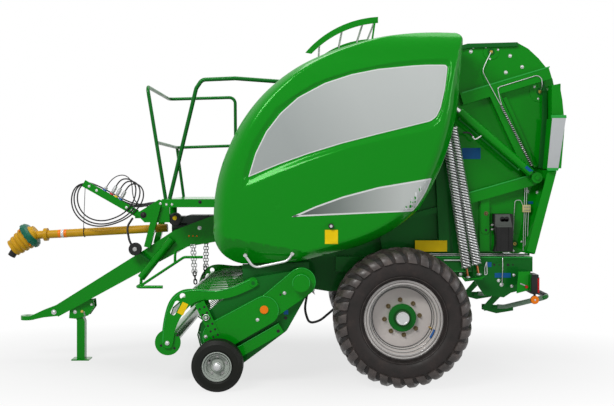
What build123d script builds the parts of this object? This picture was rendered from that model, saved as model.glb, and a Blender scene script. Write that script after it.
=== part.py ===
"""Round baler: a towed farm machine that picks up a swath and rolls it into a round bale.

Millimetres. +X points to the rear, -Y to the machine's left side, +Z up. The origin is on the
ground, under the middle of the machine's length and width.
"""

import os
from math import cos, radians, sin, sqrt, tan

from build123d import *

# ---------------------------------------------------------------- driving dimensions

PLATE = 10  # steel plate of the chamber, tailgate and brackets
PIN_GAP = 0.4  # radial gap of a pin in its eye

# Road wheels
axle_x = 1090
tyre_r, tyre_width, wheel_y = 565, 500, 1050
lug_height, lug_count, lug_width, lug_lean = 26, 24, 46, 24
rim_r, rim_width, flange_height = 290, 380, 28
disc_offset, disc_thick, disc_hole_r = 60, 12, 60
hub_r, hub_inner_r, hub_cap_r, hub_cap_out = 112, 86, 52, 74
hub_inner_end = -150  # from the tyre's middle, inboard
spindle_r = 36
axle_size, axle_half = 120, 885

# Gauge wheels of the pickup
gauge_x, gauge_y = -400, 1262
gauge_r, gauge_width = 205, 156
gauge_rim_r, gauge_rim_width, gauge_hub_r = 100, 116, 32
gauge_spindle_r = 15

# Bale chamber: half its inner width, the tailgate's pivot, and the line where the tailgate begins
chamber_half = 640
pivot_x, pivot_z, pivot_r = 1560, 2700, 34
split_x = 1592
gate_gap = 10  # between a chamber wall and the tailgate plate outside it
gate_y = chamber_half + PLATE + gate_gap
gate_outer_y = gate_y + PLATE
gate_beam_depth = 74
roller_r, roller_half = 75, chamber_half - 10
belt_count, belt_width, belt_gap, belt_thick = 4, 280, 28, 8

# Beams along the machine under the chamber
beam_y, beam_width, beam_height, beam_top = chamber_half + PLATE, 90, 128, 1028
beam_front, beam_rear = 560, 2249
beam_bottom = beam_top - beam_height
cross_size = 110

# Side doors
door_rim_y, door_wall = 862, 14
door_hinge_y, door_hinge_z = 826, 2836
door_hinges = ((1000, 2858), (1400, 2886))  # where each hinge stands, and the door's skin above it
door_pin_r = 10
door_handle_y, door_handle_reach = 1118, 70

# Tension springs and tailgate cylinders, both between the chamber wall and the door
spring_y, spring_r, spring_rod_r = 800, 32, 8
ram_y, barrel_r, rod_r, ram_eye_r, ram_pin_r = 800, 38, 20, 46, 20
ram_gate = (2268, 1706)  # pin on the tailgate
ram_chassis = (1420, 2435)  # pin on the chassis
barrel_length = 860

# Pickup
rotor_x, rotor_z, rotor_tip_r, rotor_shaft_r, rotor_star_count = 268, 853, 228, 60, 13
pivot_tube_r, pivot_tube_end = 46, 1122
reel_x, reel_z, reel_tip_r = -400, 405, 245
reel_tube_r, reel_bar_r, reel_bar_circle, reel_bar_count = 40, 13, 112, 5
band_r, band_thick, band_count, band_pitch, band_width = 196, 5, 23, 90, 46
reel_bar, reel_rod_r = (-285, 158), 14  # the cross bar that the bands start from
pickup_y, pickup_plate = 1060, 12
cover_depth = 74

# Windguard
guard_x, guard_z, guard_pin_r = -127, 842, 16
guard_stop = (-508, 569)
guard_y, guard_plate = 1080, 12
crop_roller_x, crop_roller_z, crop_roller_r, crop_disc_r = -830, 352, 58, 106
guard_tine_count, guard_tine_pitch = 15, 128
guard_tube, guard_tube_r = (-700, 700), 24

# Drawbar
drawbar_front_half, drawbar_rear_half = 62, 210
hitch_x, hitch_z, hitch_r, hitch_outer_r, hitch_thick = -2320, 396, 25, 64, 40
stand_x, stand_z, stand_pin_r = -1856, 455, 14
stand_tube, stand_leg_x = 74, -1813
stand_foot_length, stand_foot_width, stand_foot_thick = 164, 130, 12
stand_gap = 6

# Front platform and rails
platform_front, platform_rear, platform_half, platform_top, platform_thick = -956, -392, 618, 1521, 72
rail_r, rail_y = 18, 620

# Drive shaft
pto_front, pto_rear, pto_tube_r = (-2235, 1171), (-985, 1240), 38
cone_back, cone_tilt, cone_length = (-2282, 1180), 37, 218  # the guard cone hangs by the tilt, degrees
cone_back_r, cone_mouth_r, cone_wall, bellows_ridges = 117, 84, 7, 4
yoke_back, yoke_tilt, yoke_length, yoke_r = (-2390, 1110), 58, 160, 36
pto_bore_r = 17.5

# Hose holder in front of the platform, with its couplers
holder_left, holder_right, holder_height, holder_thick = (-1778, 1660), (-1278, 1376), 66, 12
holder_y = -60
coupler_r = 15
COUPLERS = ((205, 40), (278, 92), (326, 92), (375, 92))  # (place along the holder, length)
hose_r, cable_r = 6.5, 4.5

# Lift chains of the windguard
chain_wire_r, chain_pitch, chain_link_width = 4, 30, 26
LIFT_CHAINS = (  # (side, top, bottom), points given as (x, z)
    (1, (-735, 1105), (-712, 732)),
    (-1, (-690, 1112), (-700, 732)),
)
chain_y = 226

# Bale kicker
kicker_pivot, kicker_pin_r = (1890, 560), 14
kicker_y = 486

SIDES = (("left", 1), ("right", -1))  # the left side is at -Y
parts = {}


def keep(name, made):
    """Labels a finished sub-part and keeps it to be written as one STEP file."""
    made.label = name
    parts[name] = made


def side_plane(side, distance):
    """The upright lengthwise plane at that distance from the middle, on the left (1) or right (-1)."""
    return Plane.XZ.offset(side * distance)


def face_through(points):
    """Adds a face with straight edges through the points to the sketch being drawn."""
    with BuildLine() as edge:
        Polyline(*points, close=True)
    make_face(edge.edges())


def plate(side, distance, thick, points):
    """A plate standing lengthwise, its inner face at that distance from the middle."""
    with BuildSketch(side_plane(side, distance)) as outline:
        face_through(points)
    extrude(outline.sketch, amount=side * thick, dir=(0, -1, 0))


def hull_plate(side, distance, thick, circles, mode=Mode.ADD):
    """A plate standing lengthwise, whose outline wraps round circles given as (x, z, radius)."""
    with BuildSketch(side_plane(side, distance)) as outline:
        for x, z, r in circles:
            with Locations((x, z)):
                Circle(r)
        make_hull()
    extrude(outline.sketch, amount=side * thick, dir=(0, -1, 0), mode=mode)


def pin(x, z, r, start, length, side=1, mode=Mode.ADD):
    """A round bar or hole across the machine, from a distance to the middle, outwards."""
    with BuildSketch(side_plane(side, start)) as end:
        with Locations((x, z)):
            Circle(r)
    extrude(end.sketch, amount=side * length, dir=(0, -1, 0), mode=mode)


def across(x, z, r, half):
    """A round bar across the whole machine."""
    with BuildSketch(Plane.XZ.offset(-half)) as end:
        with Locations((x, z)):
            Circle(r)
    extrude(end.sketch, amount=2 * half, dir=(0, -1, 0))


def box(low, high, mode=Mode.ADD):
    """A box between two corners."""
    size = [b - a for a, b in zip(low, high)]
    middle = [(a + b) / 2 for a, b in zip(low, high)]
    with BuildSketch(Plane.XY.offset(low[2])) as base:
        with Locations((middle[0], middle[1])):
            Rectangle(size[0], size[1])
    extrude(base.sketch, amount=size[2], dir=(0, 0, 1), mode=mode)


def tube(points, radius, bend=60):
    """A round tube along straight runs joined by bends."""
    with BuildLine() as path:
        if len(points) > 2:
            FilletPolyline(*points, radius=bend)
        else:
            Line(*points)
    with BuildSketch(Plane(origin=path.line @ 0, z_dir=path.line % 0)) as section:
        Circle(radius)
    sweep(section.sketch, path=path.line)


def beam(side, distance, depth, start, end, height):
    """A straight beam standing lengthwise between two (x, z) points on its middle line."""
    run = Vector(end[0] - start[0], end[1] - start[1])
    up = Vector(-run.Y, run.X).normalized() * (height / 2)
    a, b = Vector(*start), Vector(*end)
    corners = [a - up, b - up, b + up, a + up]
    plate(side, distance, depth, [(c.X, c.Y) for c in corners])


def axle_plane(x, y, z, side=1):
    """Section plane of a wheel: its first axis runs outwards along the axle, its second is the radius."""
    return Plane(origin=(x, y, z), x_dir=(0, -side, 0), z_dir=(-side, 0, 0))


def turned(plane, section):
    """A body turned about the axle through the plane's origin, from (offset, radius) points."""
    with BuildSketch(plane) as half:
        face_through(section)
    revolve(half.sketch, axis=Axis(plane.origin, (0, 1, 0)))


# ---------------------------------------------------------------- road wheels and axle

tread_r = tyre_r - lug_height
lug_length = 0.47 * tyre_width - 12
lug_reach = sin(radians(lug_lean)) * lug_length / 2 + cos(radians(lug_lean)) * lug_width / 2
lug_top_r = sqrt(tyre_r**2 - lug_reach**2)  # so that the lugs' corners are at the tyre's radius
lug_root = 30  # how deep a lug's block runs into the carcass
TYRE_SHOULDER = (  # outer half of the tyre's section: (share of the width, radius)
    (0.34, rim_r),
    (0.35, rim_r + flange_height + 6),
    (0.46, rim_r + 66),
    (0.50, rim_r + 140),
    (0.47, tread_r - 50),
    (0.40, tread_r - 10),
)


def road_tyre(side):
    plane = axle_plane(axle_x, -side * wheel_y, tyre_r, side)
    half = [(share * tyre_width, r) for share, r in TYRE_SHOULDER]
    other = [(-offset, r) for offset, r in reversed(half)]
    with BuildPart() as made:
        turned(plane, half + [(0, tread_r)] + other)
        for shoulder, turn in ((-1, 0), (1, 0.5)):
            for i in range(lug_count):
                radial = Vector(0, 0, 1).rotate(Axis.Y, (i + turn) * 360 / lug_count)
                along = Vector(0, 1, 0).rotate(Axis((0, 0, 0), radial), shoulder * lug_lean)
                place = plane.origin + radial * lug_top_r + Vector(0, shoulder * (lug_length / 2 + 8), 0)
                with BuildSketch(Plane(origin=place, x_dir=along, z_dir=radial)):
                    Rectangle(lug_length, lug_width)
                extrude(amount=-lug_height - lug_root)
    return made.part


def road_rim(side):
    half = rim_width / 2
    lip = rim_r + flange_height
    with BuildPart() as made:
        turned(
            axle_plane(axle_x, -side * wheel_y, tyre_r, side),
            [
                (-half, lip),
                (-half + 12, lip),
                (-half + 12, rim_r),
                (half - 12, rim_r),
                (half - 12, lip),
                (half, lip),
                (half, rim_r - 10),
                (half - 40, rim_r - 16),
                (disc_offset + 36, rim_r - 34),
                (disc_offset, rim_r - 44),
                (disc_offset, disc_hole_r),
                (disc_offset - disc_thick, disc_hole_r),
                (disc_offset - disc_thick, rim_r - 26),
                (-half + 26, rim_r - 12),
                (-half, rim_r - 10),
            ],
        )
    return made.part


def road_hub(side):
    bore = spindle_r + PIN_GAP
    inner_face = disc_offset - disc_thick
    with BuildPart() as made:
        turned(
            axle_plane(axle_x, -side * wheel_y, tyre_r, side),
            [
                (hub_inner_end, bore),
                (hub_inner_end, hub_inner_r),
                (inner_face - 18, hub_inner_r),
                (inner_face - 18, 170),
                (inner_face, 170),
                (inner_face, disc_hole_r - PIN_GAP),
                (disc_offset, disc_hole_r - PIN_GAP),
                (disc_offset, hub_r),
                (disc_offset + 28, hub_r),
                (disc_offset + 28, hub_r - 42),
                (disc_offset + 16, hub_r - 42),
                (disc_offset + 16, hub_cap_r),
                (disc_offset + hub_cap_out - 6, hub_cap_r),
                (disc_offset + hub_cap_out, hub_cap_r - 8),
                (disc_offset + hub_cap_out, 0),
                (20, 0),
                (20, bore),
            ],
        )
    return made.part


with BuildPart() as axle:
    box(
        (axle_x - axle_size / 2, -axle_half, tyre_r - axle_size / 2),
        (axle_x + axle_size / 2, axle_half, tyre_r + axle_size / 2),
    )
    across(axle_x, tyre_r, spindle_r, wheel_y + 10)
keep("axle", axle.part)

for side_name, side in SIDES:
    keep(f"tyre_{side_name}", road_tyre(side))
    keep(f"rim_{side_name}", road_rim(side))
    keep(f"hub_{side_name}", road_hub(side))

# ---------------------------------------------------------------- chamber walls and chassis

WALL_OUTLINE = (
    (-370, 1130), (-370, 1448), (-340, 1850), (-170, 2230), (180, 2590), (560, 2770),
    (1100, 2850), (1640, 2850), (1640, 2640), (1575, 2560), (1575, beam_top - beam_height),
    (1230, beam_top - beam_height), (1000, 760), (500, 720), (60, 790), (-130, 960),
)  # fmt: skip

for side_name, side in SIDES:
    with BuildPart() as wall:
        plate(side, chamber_half, PLATE, WALL_OUTLINE)
        # A leaning post and two bars stiffen the wall in front of the tailgate.
        beam(side, chamber_half + PLATE, 60, (1500, beam_top + 40), (1440, 2300), 90)
        beam(side, chamber_half + PLATE, 40, (700, 1240), (1440, 1430), 50)
        beam(side, chamber_half + PLATE, 40, (1000, beam_top + 8), (960, 1290), 60)
        # Pivot boss of the tailgate, through the tailgate's plate
        pin(pivot_x, pivot_z, pivot_r, chamber_half + PLATE, gate_gap + 2 * PLATE + 14, side)
        # Fork of the cylinder's rod
        pin(*ram_chassis, 60, chamber_half + PLATE, ram_y - 27 - chamber_half - PLATE, side)
        # Arms that carry the door's hinge pins
        for x, _ in door_hinges:
            with BuildSketch(Plane.YZ.offset(x + 18)) as arm:
                with Locations((-side * door_hinge_y, door_hinge_z)):
                    Circle(20)
                with Locations((-side * (chamber_half + PLATE + 18), door_hinge_z - 40)):
                    Circle(20)
                make_hull()
            extrude(arm.sketch, amount=14, dir=(1, 0, 0))
            with BuildSketch(Plane.YZ.offset(x - 8)) as hinge_pin:
                with Locations((-side * door_hinge_y, door_hinge_z)):
                    Circle(door_pin_r)
            extrude(hinge_pin.sketch, amount=30, dir=(1, 0, 0))
        # Pivot tube that carries the pickup
        pin(rotor_x, rotor_z, pivot_tube_r, chamber_half + PLATE, pivot_tube_end - chamber_half - PLATE, side)
    keep(f"chamber_wall_{side_name}", wall.part)

with BuildPart() as chassis:
    for _, side in SIDES:
        low_y = min(-side * beam_y, -side * (beam_y + beam_width))
        box((beam_front, low_y, beam_bottom), (beam_rear, low_y + beam_width, beam_top))
        # Hanger down to the axle beam
        box(
            (axle_x - 110, low_y, tyre_r + axle_size / 2),
            (axle_x + 110, low_y + beam_width, beam_bottom),
        )
    for low_x, low_z in ((1250, beam_bottom - 130), (beam_rear - cross_size, beam_bottom - 20)):
        box(
            (low_x, -beam_y - 20, low_z),
            (low_x + cross_size, beam_y + 20, low_z + cross_size),
        )
    for _, side in SIDES:
        low_y = min(-side * beam_y, -side * (beam_y + 30))
        box((1250, low_y, beam_bottom - 130), (1250 + cross_size, low_y + 30, beam_bottom))
    # Head beam between the chamber walls, which the drawbar is welded to
    box((-370, -chamber_half, 1130), (-250, chamber_half, 1448))
keep("chassis_frame", chassis.part)

REAR_PLATE = (
    (1736, 935), (1736, 840), (1830, 700), (2000, 680), (2060, 720), (2230, 760), (2230, 1000), (2060, 1000),
)  # fmt: skip
KICKER_HANGER = (
    (1862, 560), (1880, 530), (1905, 534), (2240, beam_bottom - 20), (2145, beam_bottom - 20),
)  # fmt: skip

with BuildPart() as rear_plates:
    for _, side in SIDES:
        plate(side, beam_y + beam_width, PLATE, REAR_PLATE)
        # Shelf that anchors the tension springs
        low_y = min(-side * 760, -side * 860)
        box((1650, low_y, 840), (1800, low_y + 100, 850))
        # Lamp bracket
        low_y = min(-side * 760, -side * 990)
        box((2170, low_y, 760), (2180, low_y + 230, 900))
        # Plates that hang from the rear cross tube and carry the kicker
        plate(side, kicker_y + 8, 12, KICKER_HANGER)
        pin(*kicker_pivot, kicker_pin_r, kicker_y + 8, -30, side)
keep("rear_side_plates", rear_plates.part)

with BuildPart() as lamps:
    for _, side in SIDES:
        low_y = min(-side * 830, -side * 1000)
        box((2180, low_y, 740), (2236, low_y + 170, 900))
keep("tail_lamps", lamps.part)

# ---------------------------------------------------------------- rollers, belts and rotor

FRONT_ROLLERS = ((1400, 2745), (640, 2640), (100, 2290), (-90, 1800), (80, 1400))
FLOOR_ROLLERS = ((150, 1190), (640, 905))
GATE_ROLLERS = ((1880, 2780), (2290, 2450), (2080, 1145))


def belts(rollers):
    """Belts side by side round the outside of a set of rollers."""
    total = belt_count * belt_width + (belt_count - 1) * belt_gap
    with BuildPart() as made:
        for i in range(belt_count):
            start = total / 2 - i * (belt_width + belt_gap)
            with BuildSketch(Plane.XZ.offset(start)):
                for x, z in rollers:
                    with Locations((x, z)):
                        Circle(roller_r + belt_thick)
                make_hull()
                with BuildSketch(mode=Mode.SUBTRACT):
                    for x, z in rollers:
                        with Locations((x, z)):
                            Circle(roller_r)
                    make_hull()
            extrude(amount=-belt_width)
    return made.part


with BuildPart() as front_rollers:
    for x, z in FRONT_ROLLERS:
        across(x, z, roller_r, roller_half)
    for x, z in FLOOR_ROLLERS:
        across(x, z, roller_r + 20, roller_half)
keep("chamber_rollers", front_rollers.part)
keep("chamber_belts", belts(FRONT_ROLLERS))

with BuildPart() as rotor:
    across(rotor_x, rotor_z, rotor_shaft_r, chamber_half - 8)
    for i in range(rotor_star_count):
        y = (i - (rotor_star_count - 1) / 2) * 94
        with BuildSketch(Plane.XZ.offset(y)):
            tips = []
            for k in range(4):
                angle = k * 90 + i * 30
                tips.append((rotor_tip_r, angle))
                tips.append((rotor_shaft_r + 22, angle + 28))
            face_through(
                [(rotor_x + r * cos(radians(a)), rotor_z + r * sin(radians(a))) for r, a in tips]
            )
        extrude(amount=8, both=True)
keep("feed_rotor", rotor.part)

# ---------------------------------------------------------------- drawbar, hitch and stand

DRAWBAR_SIDE = (  # the outline seen from the side
    (-2044, 516), (-1196, 1040), (-910, 1227), (-450, 1400), (-370, 1400),
    (-370, 1150), (-785, 1077), (-1272, 816), (-2019, 410),
)  # fmt: skip

with BuildPart() as drawbar:
    plate(1, drawbar_rear_half, -2 * drawbar_rear_half, DRAWBAR_SIDE)
    # Narrows towards the hitch
    with BuildSketch(Plane.XY.offset(300)):
        face_through(
            [
                (-2100, -drawbar_front_half),
                (-2000, -drawbar_front_half),
                (-1250, -drawbar_rear_half),
                (-360, -drawbar_rear_half),
                (-360, drawbar_rear_half),
                (-1250, drawbar_rear_half),
                (-2000, drawbar_front_half),
                (-2100, drawbar_front_half),
            ]
        )
    extrude(amount=1200, mode=Mode.INTERSECT)
    # Trough that holds the gearbox and lets the drive shaft in
    box((-1050, -170, 1130), (-360, 170, 1500), mode=Mode.SUBTRACT)
    # Stand bracket
    for _, side in SIDES:
        plate(
            side,
            stand_tube / 2 + stand_gap,
            PLATE,
            [(-1910, 500), (-1919, 395), (-1860, 390), (-1740, 420), (-1683, 500), (-1690, 570), (-1760, 560)],
        )
    pin(stand_x, stand_z, stand_pin_r, stand_tube / 2 + stand_gap, -stand_tube - 2 * stand_gap)
keep("drawbar", drawbar.part)

with BuildPart() as hitch:
    with BuildSketch(Plane.XY.offset(hitch_z - hitch_thick / 2)):
        with Locations((hitch_x, 0)):
            Circle(hitch_outer_r)
    extrude(amount=hitch_thick)
    with BuildSketch(Plane.XZ.offset(50)):
        face_through(
            [
                (hitch_x + 40, hitch_z - hitch_thick / 2),
                (-2160, hitch_z + 6),
                (-2025, hitch_z + 20),
                (-2044, 516),
                (-2160, hitch_z + 76),
                (hitch_x + 40, hitch_z + hitch_thick / 2),
            ]
        )
    extrude(amount=-100)
    with BuildSketch(Plane.XY.offset(hitch_z - 100)):
        with Locations((hitch_x, 0)):
            Circle(hitch_r)
    extrude(amount=200, mode=Mode.SUBTRACT)
keep("hitch_eye", hitch.part)

with BuildPart() as stand:
    half = stand_tube / 2
    with BuildSketch(Plane.XZ.offset(half)):
        face_through(
            [
                (stand_leg_x - half, stand_foot_thick),
                (stand_leg_x + half, stand_foot_thick),
                (stand_leg_x + half, stand_z - 90),
                (stand_x + 22, stand_z + 22),
                (stand_x - 22, stand_z + 22),
                (stand_x - 30, stand_z - 20),
                (stand_leg_x - half, stand_z - 80),
            ]
        )
    extrude(amount=-stand_tube)
    box(
        (stand_leg_x - stand_foot_length / 2, -stand_foot_width / 2, 0),
        (stand_leg_x + stand_foot_length / 2, stand_foot_width / 2, stand_foot_thick),
    )
    pin(stand_x, stand_z, stand_pin_r + PIN_GAP, half, -stand_tube, mode=Mode.SUBTRACT)
keep("stand", stand.part)

# ---------------------------------------------------------------- gearbox and drive shaft

pto_line = Vector(pto_rear[0] - pto_front[0], 0, pto_rear[1] - pto_front[1])
pto_plane = Plane(origin=(pto_front[0], 0, pto_front[1]), x_dir=(0, 1, 0), z_dir=pto_line)
cone_plane = Plane(
    origin=(cone_back[0], 0, cone_back[1]),
    x_dir=(0, 1, 0),
    z_dir=(-cos(radians(cone_tilt)), 0, -sin(radians(cone_tilt))),
)
yoke_plane = Plane(
    origin=(yoke_back[0], 0, yoke_back[1]),
    x_dir=(0, 1, 0),
    z_dir=(-cos(radians(yoke_tilt)), 0, -sin(radians(yoke_tilt))),
)

with BuildPart() as gearbox:
    box((-800, -150, 1140), (-480, 150, 1360))
    with BuildSketch(Plane(origin=(-800, 0, 1251), x_dir=(0, 1, 0), z_dir=(-1, 0, 0))):
        Circle(100)
    extrude(amount=150)
    pin(-904, 1330, 58, 150, 60)
    box((-930, -150, 1290), (-800, 100, 1350))
keep("gearbox", gearbox.part)

BELLOWS = [(-50, 0), (-50, 58), (-34, 62), (-14, 78), (0, cone_back_r - 8)]  # (along the cone, radius)
for i in range(bellows_ridges):
    share = i / bellows_ridges
    start = 8 + share * (cone_length - 30)
    ridge = cone_back_r + share * (cone_mouth_r - cone_back_r)
    BELLOWS += [(start, ridge - 7), (start + 12, ridge), (start + 26, ridge), (start + 36, ridge - 9)]
BELLOWS += [
    (cone_length - 14, cone_mouth_r - 3),
    (cone_length, cone_mouth_r),
    (cone_length, cone_mouth_r - cone_wall),
    (20, cone_back_r - cone_wall - 10),
    (20, 0),
]

with BuildPart() as pto_guard:
    with BuildSketch(pto_plane):
        Circle(pto_tube_r)
    extrude(amount=pto_line.length - 20)
    with BuildSketch(Plane(origin=cone_plane.origin, x_dir=cone_plane.z_dir, z_dir=(0, 1, 0))):
        face_through(BELLOWS)
    revolve(axis=Axis(cone_plane.origin, cone_plane.z_dir))
    # Collar where the tube enters the cone
    with BuildSketch(pto_plane.offset(70)):
        Circle(pto_tube_r + 22)
    extrude(amount=34)
keep("pto_guard", pto_guard.part)

with BuildPart() as yoke:
    with BuildSketch(yoke_plane):
        Rectangle(2 * yoke_r - 4, 30)
    extrude(amount=yoke_length - 60)
    with BuildSketch(yoke_plane.offset(yoke_length - 80)):
        Circle(yoke_r)
    extrude(amount=80)
    with BuildSketch(yoke_plane.offset(yoke_length - 70)):
        Circle(pto_bore_r)
    extrude(amount=80, mode=Mode.SUBTRACT)
keep("pto_yoke", yoke.part)

# ---------------------------------------------------------------- platform, rails, step, net box

with BuildPart() as platform:
    low = platform_top - platform_thick
    box((platform_front, -platform_half, low), (platform_rear, platform_half, platform_top))
    box(
        (platform_front + 40, -platform_half + 40, low - 1),
        (platform_rear - 40, platform_half - 40, platform_top - 8),
        mode=Mode.SUBTRACT,
    )
    for _, side in SIDES:
        beam(side, drawbar_rear_half, 60, (-1150, 1075), (-1046, 1480), 56)
        plate(side, drawbar_rear_half, 20, [(-1258, 1380), (-1180, 1300), (-950, 1300), (-950, 1480), (-1046, 1510)])
    box((-1010, -drawbar_rear_half, low), (-950, drawbar_rear_half, platform_top - 20))
keep("platform", platform.part)

with BuildPart() as rails:
    # Rail beside the ladder, over to the chamber's roof
    near = -rail_y + 20
    tube(
        [
            (-890, near, platform_top), (-655, -rail_y, 2487), (-604, -rail_y, 2562),
            (-314, -rail_y, 2574), (150, -rail_y, 2540),
        ],
        rail_r,
    )  # fmt: skip
    box((120, -chamber_half, 2515), (160, -rail_y, 2565))
    # Guard round the front and the far side, with its middle rail
    tube(
        [
            (-925, near, platform_top), (-1085, near, 2505), (-1085, -near, 2505),
            (-420, -near, 2523), (-412, -near, platform_top),
        ],
        rail_r - 2,
    )  # fmt: skip
    tube([(-1007, near, 2017), (-1007, -near, 2017), (-416, -near, 2036)], rail_r - 3)
    tube([(-940, -near, platform_top), (-1007, -near, 2017)], rail_r - 3)
    # Their feet stand flat on the platform
    box((-1300, -800, platform_top - 100), (200, 800, platform_top), mode=Mode.SUBTRACT)
keep("handrails", rails.part)

WRAP_TRAY = ((-372, 1448), (-372, 1680), (-352, 1680), (-352, 1468), (-190, 1468), (-190, 1448))
COVER_CURVE = ((-372, 1700), (-330, 1900), (-160, 2250), (-20, 2400), (60, 2450))
with BuildPart() as front_cover:
    inner = [(x + 14, z - 14) for x, z in reversed(COVER_CURVE)]
    cover_half = rail_y - rail_r - 20
    plate(1, cover_half, -2 * cover_half, list(COVER_CURVE) + inner)
    # Tray for the roll of net, on the head beam
    plate(1, chamber_half, -2 * chamber_half, WRAP_TRAY)
keep("front_cover", front_cover.part)

with BuildPart() as step:
    strut_y = -drawbar_rear_half - 38
    tread_y = strut_y - 200
    tube([(-924, strut_y, 1149), (-1206, strut_y, 794)], 36)
    tube([(-1206, strut_y, 790), (-1206, strut_y, 734), (-1206, tread_y, 734), (-976, tread_y, 734)], 14, 40)
    tube([(-1180, tread_y, 740), (-786, tread_y, 1000), (-617, tread_y, 1000)], 12, 60)
    tube([(-866, tread_y, 940), (-866, tread_y, 1040), (-866, -drawbar_rear_half, 1040)], 12, 40)
keep("step", step.part)

with BuildPart() as arch:
    for _, side in SIDES:
        with BuildSketch(side_plane(side, 600)):
            with BuildLine():
                outer = ThreePointArc((297, 2800), (560, 3010), (932, 3112))
                inner = ThreePointArc((932, 3060), (585, 2965), (350, 2790))
                Line(outer @ 1, inner @ 0)
                Line(inner @ 1, outer @ 0)
            make_face()
        extrude(amount=side * 12)
        beam(side, 606, 12, (905, 3080), (870, 2840), 16)
    for x, z in ((420, 2905), (620, 3010), (800, 3062), (905, 3082)):
        across(x, z, 10, 606)
keep("top_guard", arch.part)

# ---------------------------------------------------------------- hose holder and hoses

holder_run = Vector(holder_right[0] - holder_left[0], 0, holder_right[1] - holder_left[1]).normalized()
coupler_up = Vector(-holder_run.Z, 0, holder_run.X)


def coupler_foot(place):
    """Where a coupler stands on the holder's top edge."""
    along = Vector(holder_left[0], holder_y - holder_thick / 2, holder_left[1]) + holder_run * place
    return along + coupler_up * (holder_height / 2)


with BuildPart() as holder:
    beam(1, -holder_y, holder_thick, holder_left, holder_right, holder_height)
    # Foot that is bolted to the platform's bracket
    box(
        (holder_right[0] - 20, holder_y - holder_thick, holder_right[1] - 45),
        (-1180, holder_y, holder_right[1] + 20),
    )
    box((-1190, -drawbar_rear_half, holder_right[1] - 45), (-1180, holder_y, holder_right[1] + 20))
keep("hose_holder", holder.part)

with BuildPart() as couplers:
    for place, length in COUPLERS:
        with BuildSketch(Plane(origin=coupler_foot(place), z_dir=coupler_up)):
            Circle(coupler_r)
        extrude(amount=length)
keep("hose_couplers", couplers.part)

# Routes of the hoses and of the thin control cable, (x, y, z): up out of the coupler, round the
# big loop in front of the holder, behind it, and into the platform's cross member
HOSE_ROUTES = {
    "hose_outer": (
        (-1390, -66, 1583.8), (-1364, -66, 1629.6), (-1312, -86, 1657), (-1246, -111, 1643), (-1206, -125, 1586),
        (-1211, -128, 1500), (-1268, -128, 1410), (-1365, -122, 1330), (-1495, -114, 1275), (-1640, -108, 1252),
        (-1775, -100, 1292), (-1868, -88, 1390), (-1898, -70, 1510), (-1868, -50, 1622), (-1775, -42, 1668),
        (-1650, -40, 1604), (-1520, -40, 1530), (-1390, -40, 1462), (-1265, -40, 1428), (-1140, -40, 1470),
        (-1010.5, -40, 1470),
    ),
    "hose_middle": (
        (-1432.6, -66, 1608), (-1406.6, -66, 1653.8), (-1354, -68, 1681), (-1288, -78, 1668), (-1246, -90, 1612),
        (-1248, -100, 1530), (-1286, -104, 1448), (-1350, -103, 1370), (-1450, -100, 1308), (-1590, -94, 1272),
        (-1725, -86, 1294), (-1828, -74, 1372), (-1876, -56, 1485), (-1866, -34, 1600), (-1785, -24, 1672),
        (-1660, -22, 1620), (-1530, -22, 1546), (-1400, -22, 1478), (-1270, -22, 1440), (-1140, -22, 1476),
        (-1010.5, -22, 1476),
    ),
    "hose_inner": (
        (-1474.4, -66, 1631.8), (-1448.4, -66, 1677.6), (-1396, -60, 1704), (-1332, -55, 1690), (-1292, -60, 1636),
        (-1290, -70, 1560), (-1312, -82, 1480), (-1370, -86, 1402), (-1455, -84, 1344), (-1590, -78, 1302),
        (-1715, -70, 1322), (-1806, -56, 1392), (-1850, -36, 1495), (-1842, -14, 1604), (-1772, -6, 1676),
        (-1645, -4, 1630), (-1520, -4, 1560), (-1395, -4, 1494), (-1270, -4, 1452), (-1140, -4, 1482),
        (-1010.5, -4, 1482),
    ),
}  # fmt: skip
CABLE_ROUTE = (
    (-1563.5, -66, 1622.6), (-1547.5, -66, 1650.8), (-1518, -68, 1690), (-1466, -72, 1728), (-1396, -80, 1738),
    (-1340, -94, 1702), (-1316, -112, 1640), (-1310, -130, 1568), (-1290, -146, 1500), (-1235, -147, 1452),
    (-1160, -120, 1442), (-1085, -82, 1466), (-1010.5, -82, 1466),
)  # fmt: skip


def cord(name, points, radius):
    """A cord's tube: straight runs joined by arcs as large as the runs allow."""
    corners = [Vector(*point) for point in points]
    runs = [end - start for start, end in zip(corners, corners[1:])]
    radii = [
        0.45 * min(one.length, two.length) / tan(radians(one.get_angle(two)) / 2)
        for one, two in zip(runs, runs[1:])
    ]
    print(f"{name}: smallest bend {min(radii):.0f} mm, length {sum(run.length for run in runs):.0f} mm")
    with BuildPart() as made:
        with BuildLine() as path:
            FilletPolyline(*corners, radius=radii)
        with BuildSketch(Plane(origin=path.line @ 0, z_dir=path.line % 0)) as section:
            Circle(radius)
        sweep(section.sketch, path=path.line)
    keep(name, made.part)


for name, route in HOSE_ROUTES.items():
    cord(name, route, hose_r)
cord("control_cable", CABLE_ROUTE, cable_r)

with BuildPart() as strap:
    # A cord from the holder's tip that carries the drive shaft while it is not in use
    ring = Vector(-1790, 0, 1171 + (2235 - 1790) * pto_line.Z / pto_line.X)
    with BuildSketch(Plane(origin=ring, x_dir=(0, 1, 0), z_dir=pto_line)):
        Circle(pto_tube_r + 7)
        Circle(pto_tube_r + 1, mode=Mode.SUBTRACT)
    extrude(amount=6)
    tube([(-1787, -pto_tube_r - 4, ring.Z + 10), (-1766, holder_y + holder_thick / 2 - 2, 1650)], 3)
keep("shaft_strap", strap.part)

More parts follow.
